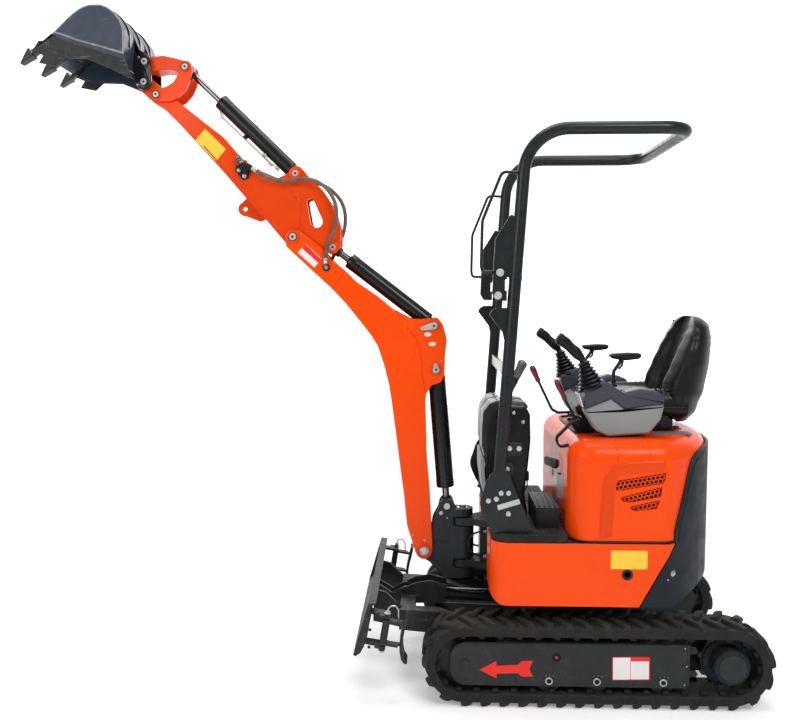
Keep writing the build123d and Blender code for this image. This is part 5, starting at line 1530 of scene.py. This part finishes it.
# ------------------------------------------------------------------ front console
b = Bag()
body = round_poly([(238, 669, 6), (384, 669, 10), (412, 760, 40), (424, 850, 40), (418, 960, 60), (400, 1060, 50), (378, 1112, 30), (330, 1128, 20), (250, 1122, 26), (234, 1090, 20), (231, 980, 30), (240, 880, 60), (254, 760, 60)], 10, 6)
slab(b, body, -160, 160, c=8)
o = make("console_body", b, "plastic_gloss", "upper", bevel=2.5)
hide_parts("front_console")
b = Bag()
up = round_poly([(398, 1136, 26), (424, 1100, 30), (428, 1040, 40), (429, 960, 40), (408, 890, 14), (398, 896, 8), (398, 960, 20), (392, 1040, 30), (376, 1096, 30), (352, 1126, 10), (340, 1142, 10), (366, 1148, 20)], 12, 6)
slab(b, up, -163, -4, c=6)
slab(b, up, 4, 163, c=6)
make("console_covers", b, "tube", "upper", bevel=2.0)
b = Bag()
lowc = round_poly([(430, 930, 10), (431, 880, 20), (430, 830, 40), (415, 740, 40), (396, 690, 14), (384, 690, 10), (394, 740, 30), (406, 800, 30), (412, 860, 30), (408, 888, 6)], 10, 6)
slab(b, lowc, -160, 160, c=6)
make("console_skirt", b, "con_light", "upper", bevel=2.0)
b = Bag()
for y0, y1 in ((10, 110), (-110, -10)):
    cap = round_poly([(232, 1096, 20), (246, 1122, 20), (282, 1126, 20), (318, 1122, 16), (336, 1116, 10), (330, 1100, 6), (260, 1090, 12)], 10, 6)
    slab(b, [(p[0], p[1] + 12) for p in cap], y0, y1, c=10)
make("console_caps", b, "con_dark", "upper", bevel=2.0)
b = Bag()
for q in ((333, 1083), (300, 1098), (262, 1060)):
    hexhead(b, (q[0], 160.0, q[1]), (0, 1, 0), 5.5, 4)
    hexhead(b, (q[0], -160.0, q[1]), (0, -1, 0), 5.5, 4)
make("console_bolts", b, "zinc", "upper")
b = Bag()
# parking catch behind the console and its knob
tube(b, fillet_path([(252, 130, 770), (240, 130, 790), (240, 130, 815)], 8), 3.0, seg=10)
rev(b, (240, 130, 812), (0, 0, 1), [(5, 0), (7.5, 6), (8, 26), (6.5, 38), (3, 42)], 18)
make("console_catch", b, "plastic", "upper")

# ------------------------------------------------------------------ roll frame trim
def post_x(z):
    return 344.0 - 0.0696 * (z - 1311.0)


b = Bag()
bs = Bag()
for sy in (1, -1):
    for x, z in ((418, 794), (388, 801), (370, 824), (342, 824), (342, 744)):
        rev(b, (x, sy * 406, z), (0, sy, 0), [(9.5, 0), (10, 1.0), (10, 3.0), (8.6, 4.8), (4, 5.6)], 24)
    for x, z in ((338, 992), (302, 992), (347, 912)):
        rev(b, (x, sy * 386, z), (0, sy, 0), [(9.5, 0), (10, 1.0), (10, 3.0), (8.6, 4.8), (4, 5.6)], 24)
make("post_foot_bolts", b, "pinhead", "upper")
b = Bag()
slab(b, round_poly([(385, 777), (302, 802), (297, 783), (381, 757)], 2), 406.0, 406.6)
make("post_plate", b, "silver", "upper")
b = Bag()
# bracket between post and console carrying two bolts, and folded rib of the foot
for sy in (1, -1):
    y = sy * 378
    slab(b, round_poly([(290, 965, 8), (290, 1012, 8), (362, 1016, 8), (362, 960, 8)], 8, 4), *((378, 386) if sy > 0 else (-386, -378)), c=1.0)
    slab(b, round_poly([(322, 890, 8), (322, 934, 8), (366, 934, 8), (366, 890, 8)], 8, 4), *((378, 386) if sy > 0 else (-386, -378)), c=1.0)
    tube(b, catmull([(418, sy * 401, 704), (445, sy * 401, 777), (431, sy * 401, 835), (414, sy * 401, 880), (386, sy * 401, 909), (346, sy * 401, 905), (331, sy * 401, 866), (302, sy * 401, 797), (264, sy * 401, 714)], 6), 4.6, seg=10)
make("post_brackets", b, "tube", "upper")
b = Bag()
# strap across the posts
strip(b, [(352, y, 1279) for y in range(-356, 357, 30)], (0, 0, 1), 44, 3.0)
make("cross_strap", b, "silver", "upper")
b = Bag()
gr = Bag()
for sy in (1, -1):
    y = sy * 380
    # fold hinge bolts
    for x, z in ((380, 1659), (387, 1573)):
        rev(b, (x, sy * 394, z), (0, sy, 0), [(14, 0), (15, 1.0), (15, 3.0), (13, 5.2), (6, 6.4), (5.4, 5.6)], 30)
make("fold_bolts", b, "pinhead", "upper")
b = Bag()
# guard rods standing off the top corners of the frame
for sy, yy in ((1, 380), (-1, -380)):
    near = [(306, yy, 2029), (374, yy, 2034), (447, yy, 1852), (450, yy, 1688), (446, yy, 1661), (402, yy, 1661)]
    tube(b, fillet_path(near, [24, 60, 40, 16], 8), 6.0, seg=12)
make("guard_rods", b, "tube", "upper")
b = Bag()
for sy in (1, -1):
    for z, r in ((1640.2, 26.4),):
        p = Vector((post_x(z), sy * 380, z))
        d = Vector((-0.0696, 0, 1)).normalized()
        rev(b, p - d * 6, d, [(24.1, 0), (25.6, 1.2), (25.6, 10.8), (24.1, 12)], 36, caps=False)
    p = Vector((post_x(676), sy * 380, 676))
    d = Vector((-0.0696, 0, 1)).normalized()
    rev(b, p - d * 6, d, [(29, 0), (29, 6), (24.2, 12)], 36, caps=False)
make("post_collars", b, "tube", "upper")

# ------------------------------------------------------------------ levers
b = Bag()
g = Bag()
lever_a = fillet_path([(66, 180, 1106), (126, 180, 1103), (150, 180, 1116), (206, 180, 1232)], [18, 22])
tube(b, lever_a, 5.6, seg=12)
lever_b = fillet_path([(48, 238, 1056), (82, 238, 1118), (112, 238, 1172)], [40])
tube(b, lever_b, 5.6, seg=12)
o = make("lever_rods", b, "black", "upper")
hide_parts("levers")
for p0, p1 in (((204, 180, 1228), (234, 180, 1292)), ((106, 238, 1162), (144, 238, 1242))):
    d = Vector(p1) - Vector(p0)
    L = d.length
    rev(g, p0, d, [(7.5, 0), (9.8, 2), (10.2, 6), (10.0, L * 0.3), (12.6, L * 0.62), (12.8, L * 0.8), (10.6, L * 0.94), (5.5, L)], 24)
make("lever_grips", g, "grip", "upper")
# travel levers: bent rods, grey sleeves and cross handles
b = Bag()
g = Bag()
for y in (-55, 25):
    tube(b, fillet_path([(322, y, 1128), (300, y, 1168), (262, y, 1246)], [60]), 7.0, seg=14)
    rev(b, (318, y, 1118), (-0.4, 0, 0.9), [(24, 0), (23, 8), (16, 12), (15, 20), (10, 26)], 24)
    d = Vector((-0.42, 0, 0.90)).normalized()
    rev(g, Vector((276, y, 1226)), d, [(9.6, 0), (11.6, 2), (13.4, 44), (15.5, 60), (14.6, 72), (9, 76)], 24)
    cyl(g, Vector((250, y - 22, 1288)), Vector((250, y + 40, 1292)), 10.5, 4.0, 20)
make("travel_rods", b, "plastic", "upper")
make("travel_grips", g, "pad_grey", "upper", bevel=0)
# lever quadrant and bent strap beside the left console
b = Bag()
strip(b, fillet_path([(-70, 300, 1040), (20, 300, 1012), (62, 300, 1000), (138, 300, 984), (150, 300, 1020), (92, 300, 1080), (60, 300, 1092)], [60, 60, 16, 20, 30]), (0, 1, 0), 26, 8.0)
slab(b, round_poly([(78, 1090, 8), (36, 1092, 8), (-10, 1046, 8), (-10, 1016, 8), (48, 1016, 8), (84, 1068, 8)], 8, 4), 224, 240, c=1.5)
tube(b, [(96, 236, 1104), (60, 252, 1098), (52, 262, 1094)], 4.2, seg=10)
make("lever_bracket", b, "dark", "upper")

# ------------------------------------------------------------------ consoles beside the seat
split = [(47, 1136), (-53, 1177), (-106, 1136), (-180, 1148), (-254, 1157)]
top_part = round_poly([(71, 1203, 8), (-26, 1250, 10), (-106, 1198, 14), (-165, 1212.5, 16), (-249, 1201, 24), (-255, 1160, 4)], 6, 5) + [(p[0], p[1]) for p in reversed(split)]
low_part = [(p[0], p[1]) for p in split] + round_poly([(-255, 1153, 4), (-243, 1101, 20), (-200, 1045, 16), (-44, 1033, 14), (6, 1057, 20), (46, 1130, 4)], 6, 5)
for k, sy in ((0, 1), (1, -1)):
    t = "lr"[k]
    ya, yb = (247, 344.6) if sy > 0 else (-344.6, -247)
    b = Bag()
    slab(b, top_part, ya, yb, c=7)
    o = make("console_top_" + t, b, "con_dark", "upper", bevel=1.6, angle=30)
    if k == 0:
        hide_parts("consoles")
    b = Bag()
    slab(b, low_part, ya, yb, c=7)
    make("console_side_" + t, b, "con_light", "upper", bevel=1.6, angle=30)
    b = Bag()
    ctr = Vector((60.2, sy * 296, 1171))
    nrm = Vector((0.944, 0, -0.33)).normalized()
    upv = Vector((0.33, 0, 0.944)).normalized()
    obox(b, ctr + nrm * 1.2, (0, 1, 0), upv, nrm, 40, 27, 1.6, 0.6)
    make("console_strip_" + t, b, "white", "upper")
    b = Bag()
    for r in range(6):
        for c_ in range(8):
            q = ctr + nrm * 2.7 + upv * (-20 + r * 8) + Vector((0, sy * (-33 + c_ * 9.5), 0))
            rev(b, q, nrm, [(2.0, 0), (2.0, 0.7), (1.0, 0.9)], 8)
    make("console_dots_" + t, b, "pad_grey", "upper")
    b = Bag()
    slab(b, round_poly([(-112, 1203.0), (-165, 1216.5), (-222, 1209.5), (-220, 1203), (-165, 1209), (-116, 1198)], 2), *((262, 330) if sy > 0 else (-330, -262)), c=2)
    make("console_pad_" + t, b, "pad_grey", "upper")
    # bellows
    b = Bag()
    bd = Vector((0.34, 0, 0.94)).normalized()
    base = Vector((14, sy * 300, 1222))
    prof_ = [(54, -6), (54, 3)]
    for i in range(6):
        r0 = 51 - i * 5.0
        h0 = 3 + i * 15.0
        prof_ += [(r0 - 7, h0), (r0 - 1.5, h0 + 3.5), (r0, h0 + 6.0), (r0 - 1.5, h0 + 8.5), (r0 - 8, h0 + 12.5)]
    prof_ += [(24, 92), (24, 100), (15, 103), (12, 112)]
    rev(b, base, bd, prof_, 32)
    o = make("stick_bellows_" + t, b, "plastic_gloss", "upper", angle=50)
    if k == 0:
        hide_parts("joysticks")
    # palm grip: loft of ovals along a leaning line
    line = [Vector(q) for q in catmull([(50, sy * 300, 1322), (64, sy * 300, 1340), (86, sy * 300, 1362), (112, sy * 300, 1386), (138, sy * 300, 1406), (151, sy * 300, 1415)], 3)]
    radii = [11, 12, 15, 18, 19.5, 20, 19.6, 19, 19, 19.6, 20.5, 21.5, 22, 21, 17, 9]
    vs, fs = [], []
    seg = 20
    for i, p in enumerate(line):
        a_, c_ = line[max(0, i - 1)], line[min(len(line) - 1, i + 1)]
        tt = (c_ - a_).normalized()
        nn = tt.cross(Vector((0, 1, 0))).normalized()
        rr = 1.18 * radii[min(i, len(radii) - 1)]
        for j in range(seg):
            a2 = 2 * math.pi * j / seg
            bump_ = 1.0 + 0.10 * max(0.0, math.cos(a2)) * math.sin(i * 1.5)
            vs.append(tuple(p + nn * (rr * 0.92 * math.cos(a2) * bump_) + Vector((0, 1, 0)) * (rr * 1.02 * math.sin(a2))))
    for i in range(len(line) - 1):
        for j in range(seg):
            l = (j + 1) % seg
            fs.append((i * seg + j, i * seg + l, (i + 1) * seg + l, (i + 1) * seg + j))
    fs.append(tuple(reversed(range(seg))))
    fs.append(tuple(range((len(line) - 1) * seg, len(line) * seg)))
    b = Bag()
    b.add(vs, fs)
    make("stick_grip_" + t, b, "plastic_gloss", "upper", sub=1)
    b = Bag()
    rev(b, (136, sy * 300, 1424), (-0.45, 0, 0.89), [(8, 0), (8.4, 2), (7.4, 4.2), (3, 5)], 20)
    make("stick_button_" + t, b, "con_light", "upper")
    # armrest: padded top on a bent stalk
    b = Bag()
    stalk = fillet_path([(-69, sy * 300, 1228), (-68, sy * 300, 1280), (-92, sy * 300, 1316), (-96, sy * 300, 1336)], [24, 10])
    tube(b, stalk, 7.0, seg=12)
    rev(b, (-69, sy * 300, 1222), (0.0, 0, 1), [(14, 0), (14, 8), (9, 12), (8, 30)], 20)
    tube(b, fillet_path([(-88, sy * 300, 1290), (-100, sy * 300, 1304), (-104, sy * 300, 1330)], 10), 4.4, seg=10)
    make("armrest_stalk_" + t, b, "black", "upper")
    b = Bag()
    pad = round_poly([(-50, 1340, 8), (-56, 1350, 8), (-120, 1354, 30), (-166, 1352, 8), (-172, 1340, 8), (-160, 1330, 8), (-110, 1324, 20), (-64, 1330, 8)], 8, 5)
    slab(b, pad, *((275, 325) if sy > 0 else (-325, -275)), c=7)
    make("armrest_pad_" + t, b, "vinyl", "upper", bevel=2.0)


# ------------------------------------------------------------------ seat: two modelled upholstered forms
def sp(v, p):
    return math.copysign(abs(v) ** p, v)


def smooth(a, b_, v):
    t_ = min(1.0, max(0.0, (v - a) / (b_ - a)))
    return t_ * t_ * (3 - 2 * t_)


def lerp_table(tab, z):
    if z <= tab[0][0]:
        return tab[0][1]
    for (z0, v0), (z1, v1) in zip(tab, tab[1:]):
        if z <= z1:
            t_ = (z - z0) / (z1 - z0)
            t_ = t_ * t_ * (3 - 2 * t_) * 0.5 + t_ * 0.5
            return v0 + (v1 - v0) * t_
    return tab[-1][1]


def noise3(x, y, z, f):
    return noise.noise(Vector((x * f, y * f, z * f)))


FRONT_C = [(1130, -330), (1170, -350), (1220, -366), (1300, -392), (1380, -418), (1440, -438), (1490, -458)]
FRONT_B = [(1070, -340), (1120, -300), (1170, -284), (1222, -292), (1290, -322), (1350, -352), (1410, -382), (1450, -408), (1474, -428), (1492, -446)]
REAR = [(1066, -446), (1120, -470), (1187, -495), (1310, -516), (1397, -521), (1443, -513), (1480, -482)]


def plan_back(y):
    """the back is curved in plan around the driver"""
    return 332.0 - math.sqrt(332.0 ** 2 - min(abs(y), 300.0) ** 2)


WIDE = [(1082, 176), (1110, 200), (1180, 213), (1290, 214), (1350, 207), (1400, 193), (1440, 172), (1470, 150), (1490, 130)]

N_A = 96
rows = []
zs = [1068 + i * 3.1 for i in range(int((1440 - 1068) / 3.1) + 1)]
ZT = 1489.0
for z in zs:
    rows.append((z, 1.0, 1.0))
z0 = zs[-1]
for i in range(1, 17):
    a_ = math.pi / 2 * i / 16
    rows.append((z0 + (ZT - z0) * math.sin(a_), max(0.02, math.cos(a_)) ** 0.62, 0.30 + 0.70 * math.cos(a_)))
bt = Bag()
vs, fs = [], []
for i, (z, k_, kw) in enumerate(rows):
    zz = min(z, 1440 + (z - 1440) * 0.6) if z > 1440 else z
    W = lerp_table(WIDE, zz) * (kw if z > 1440 else 1.0)
    low_k = smooth(1062, 1100, z) * 0.35 + 0.65
    xr = lerp_table(REAR, zz)
    xr0 = xr
    for j in range(N_A):
        a_ = 2 * math.pi * j / N_A
        y = W * sp(math.cos(a_), 0.62)
        xr = xr0 + plan_back(y)
        mid_edge = xr + 46
        s_ = sp(math.sin(a_), 0.55)
        q = abs(y) / W
        B = smooth(0.40, 0.66, q)
        xf = lerp_table(FRONT_C, zz) * (1 - B) + lerp_table(FRONT_B, zz) * B
        if s_ > 0:
            x = mid_edge + (xf - mid_edge) * s_
            # sewn pleats low on the side wings, shallow channels on the centre panel
            pl = smooth(1112, 1126, z) * (1 - smooth(1196, 1212, z)) * smooth(0.56, 0.70, q) * s_
            x += pl * 4.6 * abs(math.sin(math.pi * (z - 1112 + 0.5 * (x + 300)) / 17.0)) - pl * 2.0
            ch = (1 - smooth(0.34, 0.42, q)) * smooth(1230, 1245, z) * (1 - smooth(1405, 1420, z)) * s_
            x += ch * 3.0 * (abs(math.cos(math.pi * (z - 1240) / 42.0)) ** 0.5)
            seam = math.exp(-((q - 0.40) / 0.022) ** 2) * smooth(1180, 1200, z) * (1 - smooth(1436, 1452, z))
            x -= seam * 6.0 * s_
            x += 2.4 * noise3(x, y, z, 0.012) * s_
        else:
            x = mid_edge + (xr - mid_edge) * abs(s_)
            x += 1.4 * noise3(x, y, z, 0.01) * abs(s_)
            seam = math.exp(-((z - 1392) / 3.4) ** 2) * abs(s_)
            x += seam * 3.0
        xm = mid_edge
        x = xm + (x - xm) * (k_ if z > 1440 else low_k ** (1 if z < 1120 else 0))
        vs.append((x, y, z))
n = len(rows)
for i in range(n - 1):
    for j in range(N_A):
        l = (j + 1) % N_A
        fs.append((i * N_A + j, i * N_A + l, (i + 1) * N_A + l, (i + 1) * N_A + j))
fs.append(tuple(reversed(range(N_A))))
fs.append(tuple(range((n - 1) * N_A, n * N_A)))
bt.add(vs, fs)
back = make("seat_back_pad", bt, "vinyl", "upper", angle=70)
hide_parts("seat_back")

# cushion
TOP_C = [(-425, 1130), (-390, 1172), (-330, 1180), (-150, 1184), (-20, 1180), (28, 1166), (52, 1130)]
TOP_B = [(-425, 1150), (-390, 1196), (-330, 1207), (-200, 1206), (-80, 1200), (0, 1186), (36, 1166), (52, 1132)]
rows = []
xs = [-386 + i * 4.0 for i in range(int((20 + 386) / 4.0) + 1)]
ct = Bag()
vs, fs = [], []
N_B = 88
sec = [(x, 1.0) for x in xs] + [(xs[-1] + 38 * math.sin(math.pi / 2 * i / 10), max(0.03, math.cos(math.pi / 2 * i / 10)) ** 0.6) for i in range(1, 11)]
sec = [(xs[0] - 5 + 5 * (1 - math.cos(math.pi / 2 * i / 4)), 0.55 + 0.45 * math.sin(math.pi / 2 * i / 4)) for i in range(0, 4)] + sec
for i, (x, k_) in enumerate(sec):
    W = 206.0 - 12.0 * smooth(-60, 40, x)
    zb = 1079.0
    zm = 1128.0
    for j in range(N_B):
        a_ = 2 * math.pi * j / N_B
        y = W * sp(math.cos(a_), 0.55) * (0.90 + 0.10 * k_)
        s_ = sp(math.sin(a_), 0.55)
        q = abs(y) / W
        B = smooth(0.52, 0.76, q)
        zt = lerp_table(TOP_C, min(x, 52)) * (1 - B) + lerp_table(TOP_B, min(x, 52)) * B
        if s_ > 0:
            z = zm + (zt - zm) * s_
            pl = smooth(-352, -338, x) * (1 - smooth(-262, -246, x)) * smooth(0.5, 0.66, q) * s_
            z += pl * (4.2 * abs(math.sin(math.pi * (x + 352 + 0.25 * z) / 18.0)) - 2.0)
            ch = (1 - smooth(0.48, 0.56, q)) * smooth(-300, -285, x) * (1 - smooth(-30, -15, x)) * s_
            z += ch * 3.0 * abs(math.cos(math.pi * (x + 290) / 44.0)) ** 0.5
            seam = math.exp(-((q - 0.53) / 0.022) ** 2) * (1 - smooth(10, 30, x))
            z -= seam * 6.0 * s_
            z += 2.2 * noise3(x, y, z, 0.012) * s_
        else:
            z = zm + (zb - zm) * abs(s_)
        z = zm + (z - zm) * k_
        vs.append((x, y, z))
n = len(sec)
for i in range(n - 1):
    for j in range(N_B):
        l = (j + 1) % N_B
        fs.append((i * N_B + j, i * N_B + l, (i + 1) * N_B + l, (i + 1) * N_B + j))
fs.append(tuple(reversed(range(N_B))))
fs.append(tuple(range((n - 1) * N_B, n * N_B)))
ct.add(vs, fs)
cush = make("seat_cushion_pad", ct, "vinyl", "upper", angle=70)
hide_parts("seat_cushion")

# piping around the back's side edge and the wing seams
b = Bag()
for sy in (1, -1):
    pts = []
    for z in range(1096, 1478, 12):
        zz = min(z, 1440 + (z - 1440) * 0.6) if z > 1440 else z
        W = lerp_table(WIDE, zz) * (1.0 if z <= 1440 else 0.96)
        pts.append((lerp_table(REAR, zz) + plan_back(W) + 46, sy * (W - 0.6 - (8 if z > 1460 else 0)), z))
    tube(b, catmull(pts, 2), 3.4, seg=8)
    pts = []
    for x in range(-376, 30, 16):
        W = 206.0 - 12.0 * smooth(-60, 40, x)
        pts.append((x, sy * (W - 0.4), 1128))
    tube(b, catmull(pts, 2), 3.2, seg=8)
make("seat_piping", b, "vinyl", "upper", angle=70)
# seat pan, slides, side plate and the adjusting handle
b = Bag()
abox(b, -338, 20, -168, 168, 1034, 1082, 4)
for y in (-140, 140):
    abox(b, -350, 36, y - 16, y + 16, 1028.5, 1038, 2)
slab(b, round_poly([(-300, 1060, 6), (-252, 1060, 6), (-236, 1090, 10), (-262, 1100, 10), (-320, 1092, 10)], 8, 4), 192, 204, c=1.5)
make("seat_pan", b, "black", "upper")
b = Bag()
slab(b, round_poly([(-232, 186), (-392, 186), (-392, 262), (-232, 262)], 14), 1027.6, 1031.0, axis="z", c2=1.4)
make("seat_side_plate", b, "pad_grey", "upper")
b = Bag()
rev(b, (-342, 96, 1034), (-1, 0.1, -0.02), [(4.5, 0), (6.2, 3), (6.4, 34), (4.0, 40)], 16)
make("seat_handle", b, "grip", "upper")
# rubber boot between the seat base and the hood
b = Bag()
ring_pts = round_poly([(-196, -232), (60, -232), (60, 232), (-196, 232)], 40, 6)
tube(b, [(x, y, 1030.0) for x, y in ring_pts], 6.0, seg=10, closed=True)
make("seat_base_seal", b, "seal", "upper")

# ------------------------------------------------------------------ floor
me = bpy.data.meshes.new("floor")
me.from_pydata([(-9, -9, 0), (9, -9, 0), (9, 9, 0), (-9, 9, 0)], [], [(0, 1, 2, 3)])
floor = bpy.data.objects.new("floor", me)
scene.collection.objects.link(floor)
m, nt, bb = new_mat("floor")
bb.inputs["Base Color"].default_value = (0.93, 0.93, 0.93, 1)
bb.inputs["Roughness"].default_value = 0.85
bb.inputs["Emission Color"].default_value = (1, 1, 1, 1)
bb.inputs["Emission Strength"].default_value = 0.22
me.materials.append(m)
me = bpy.data.meshes.new("backdrop")
me.from_pydata([(-16, -8.9, -1), (16, -8.9, -1), (16, -8.9, 12), (-16, -8.9, 12)], [], [(0, 1, 2, 3)])
drop = bpy.data.objects.new("backdrop", me)
scene.collection.objects.link(drop)
m, nt, bb = new_mat("backdrop_white")
bb.inputs["Base Color"].default_value = (0.9, 0.9, 0.9, 1)
bb.inputs["Emission Color"].default_value = (1, 1, 1, 1)
bb.inputs["Emission Strength"].default_value = 1.0
me.materials.append(m)
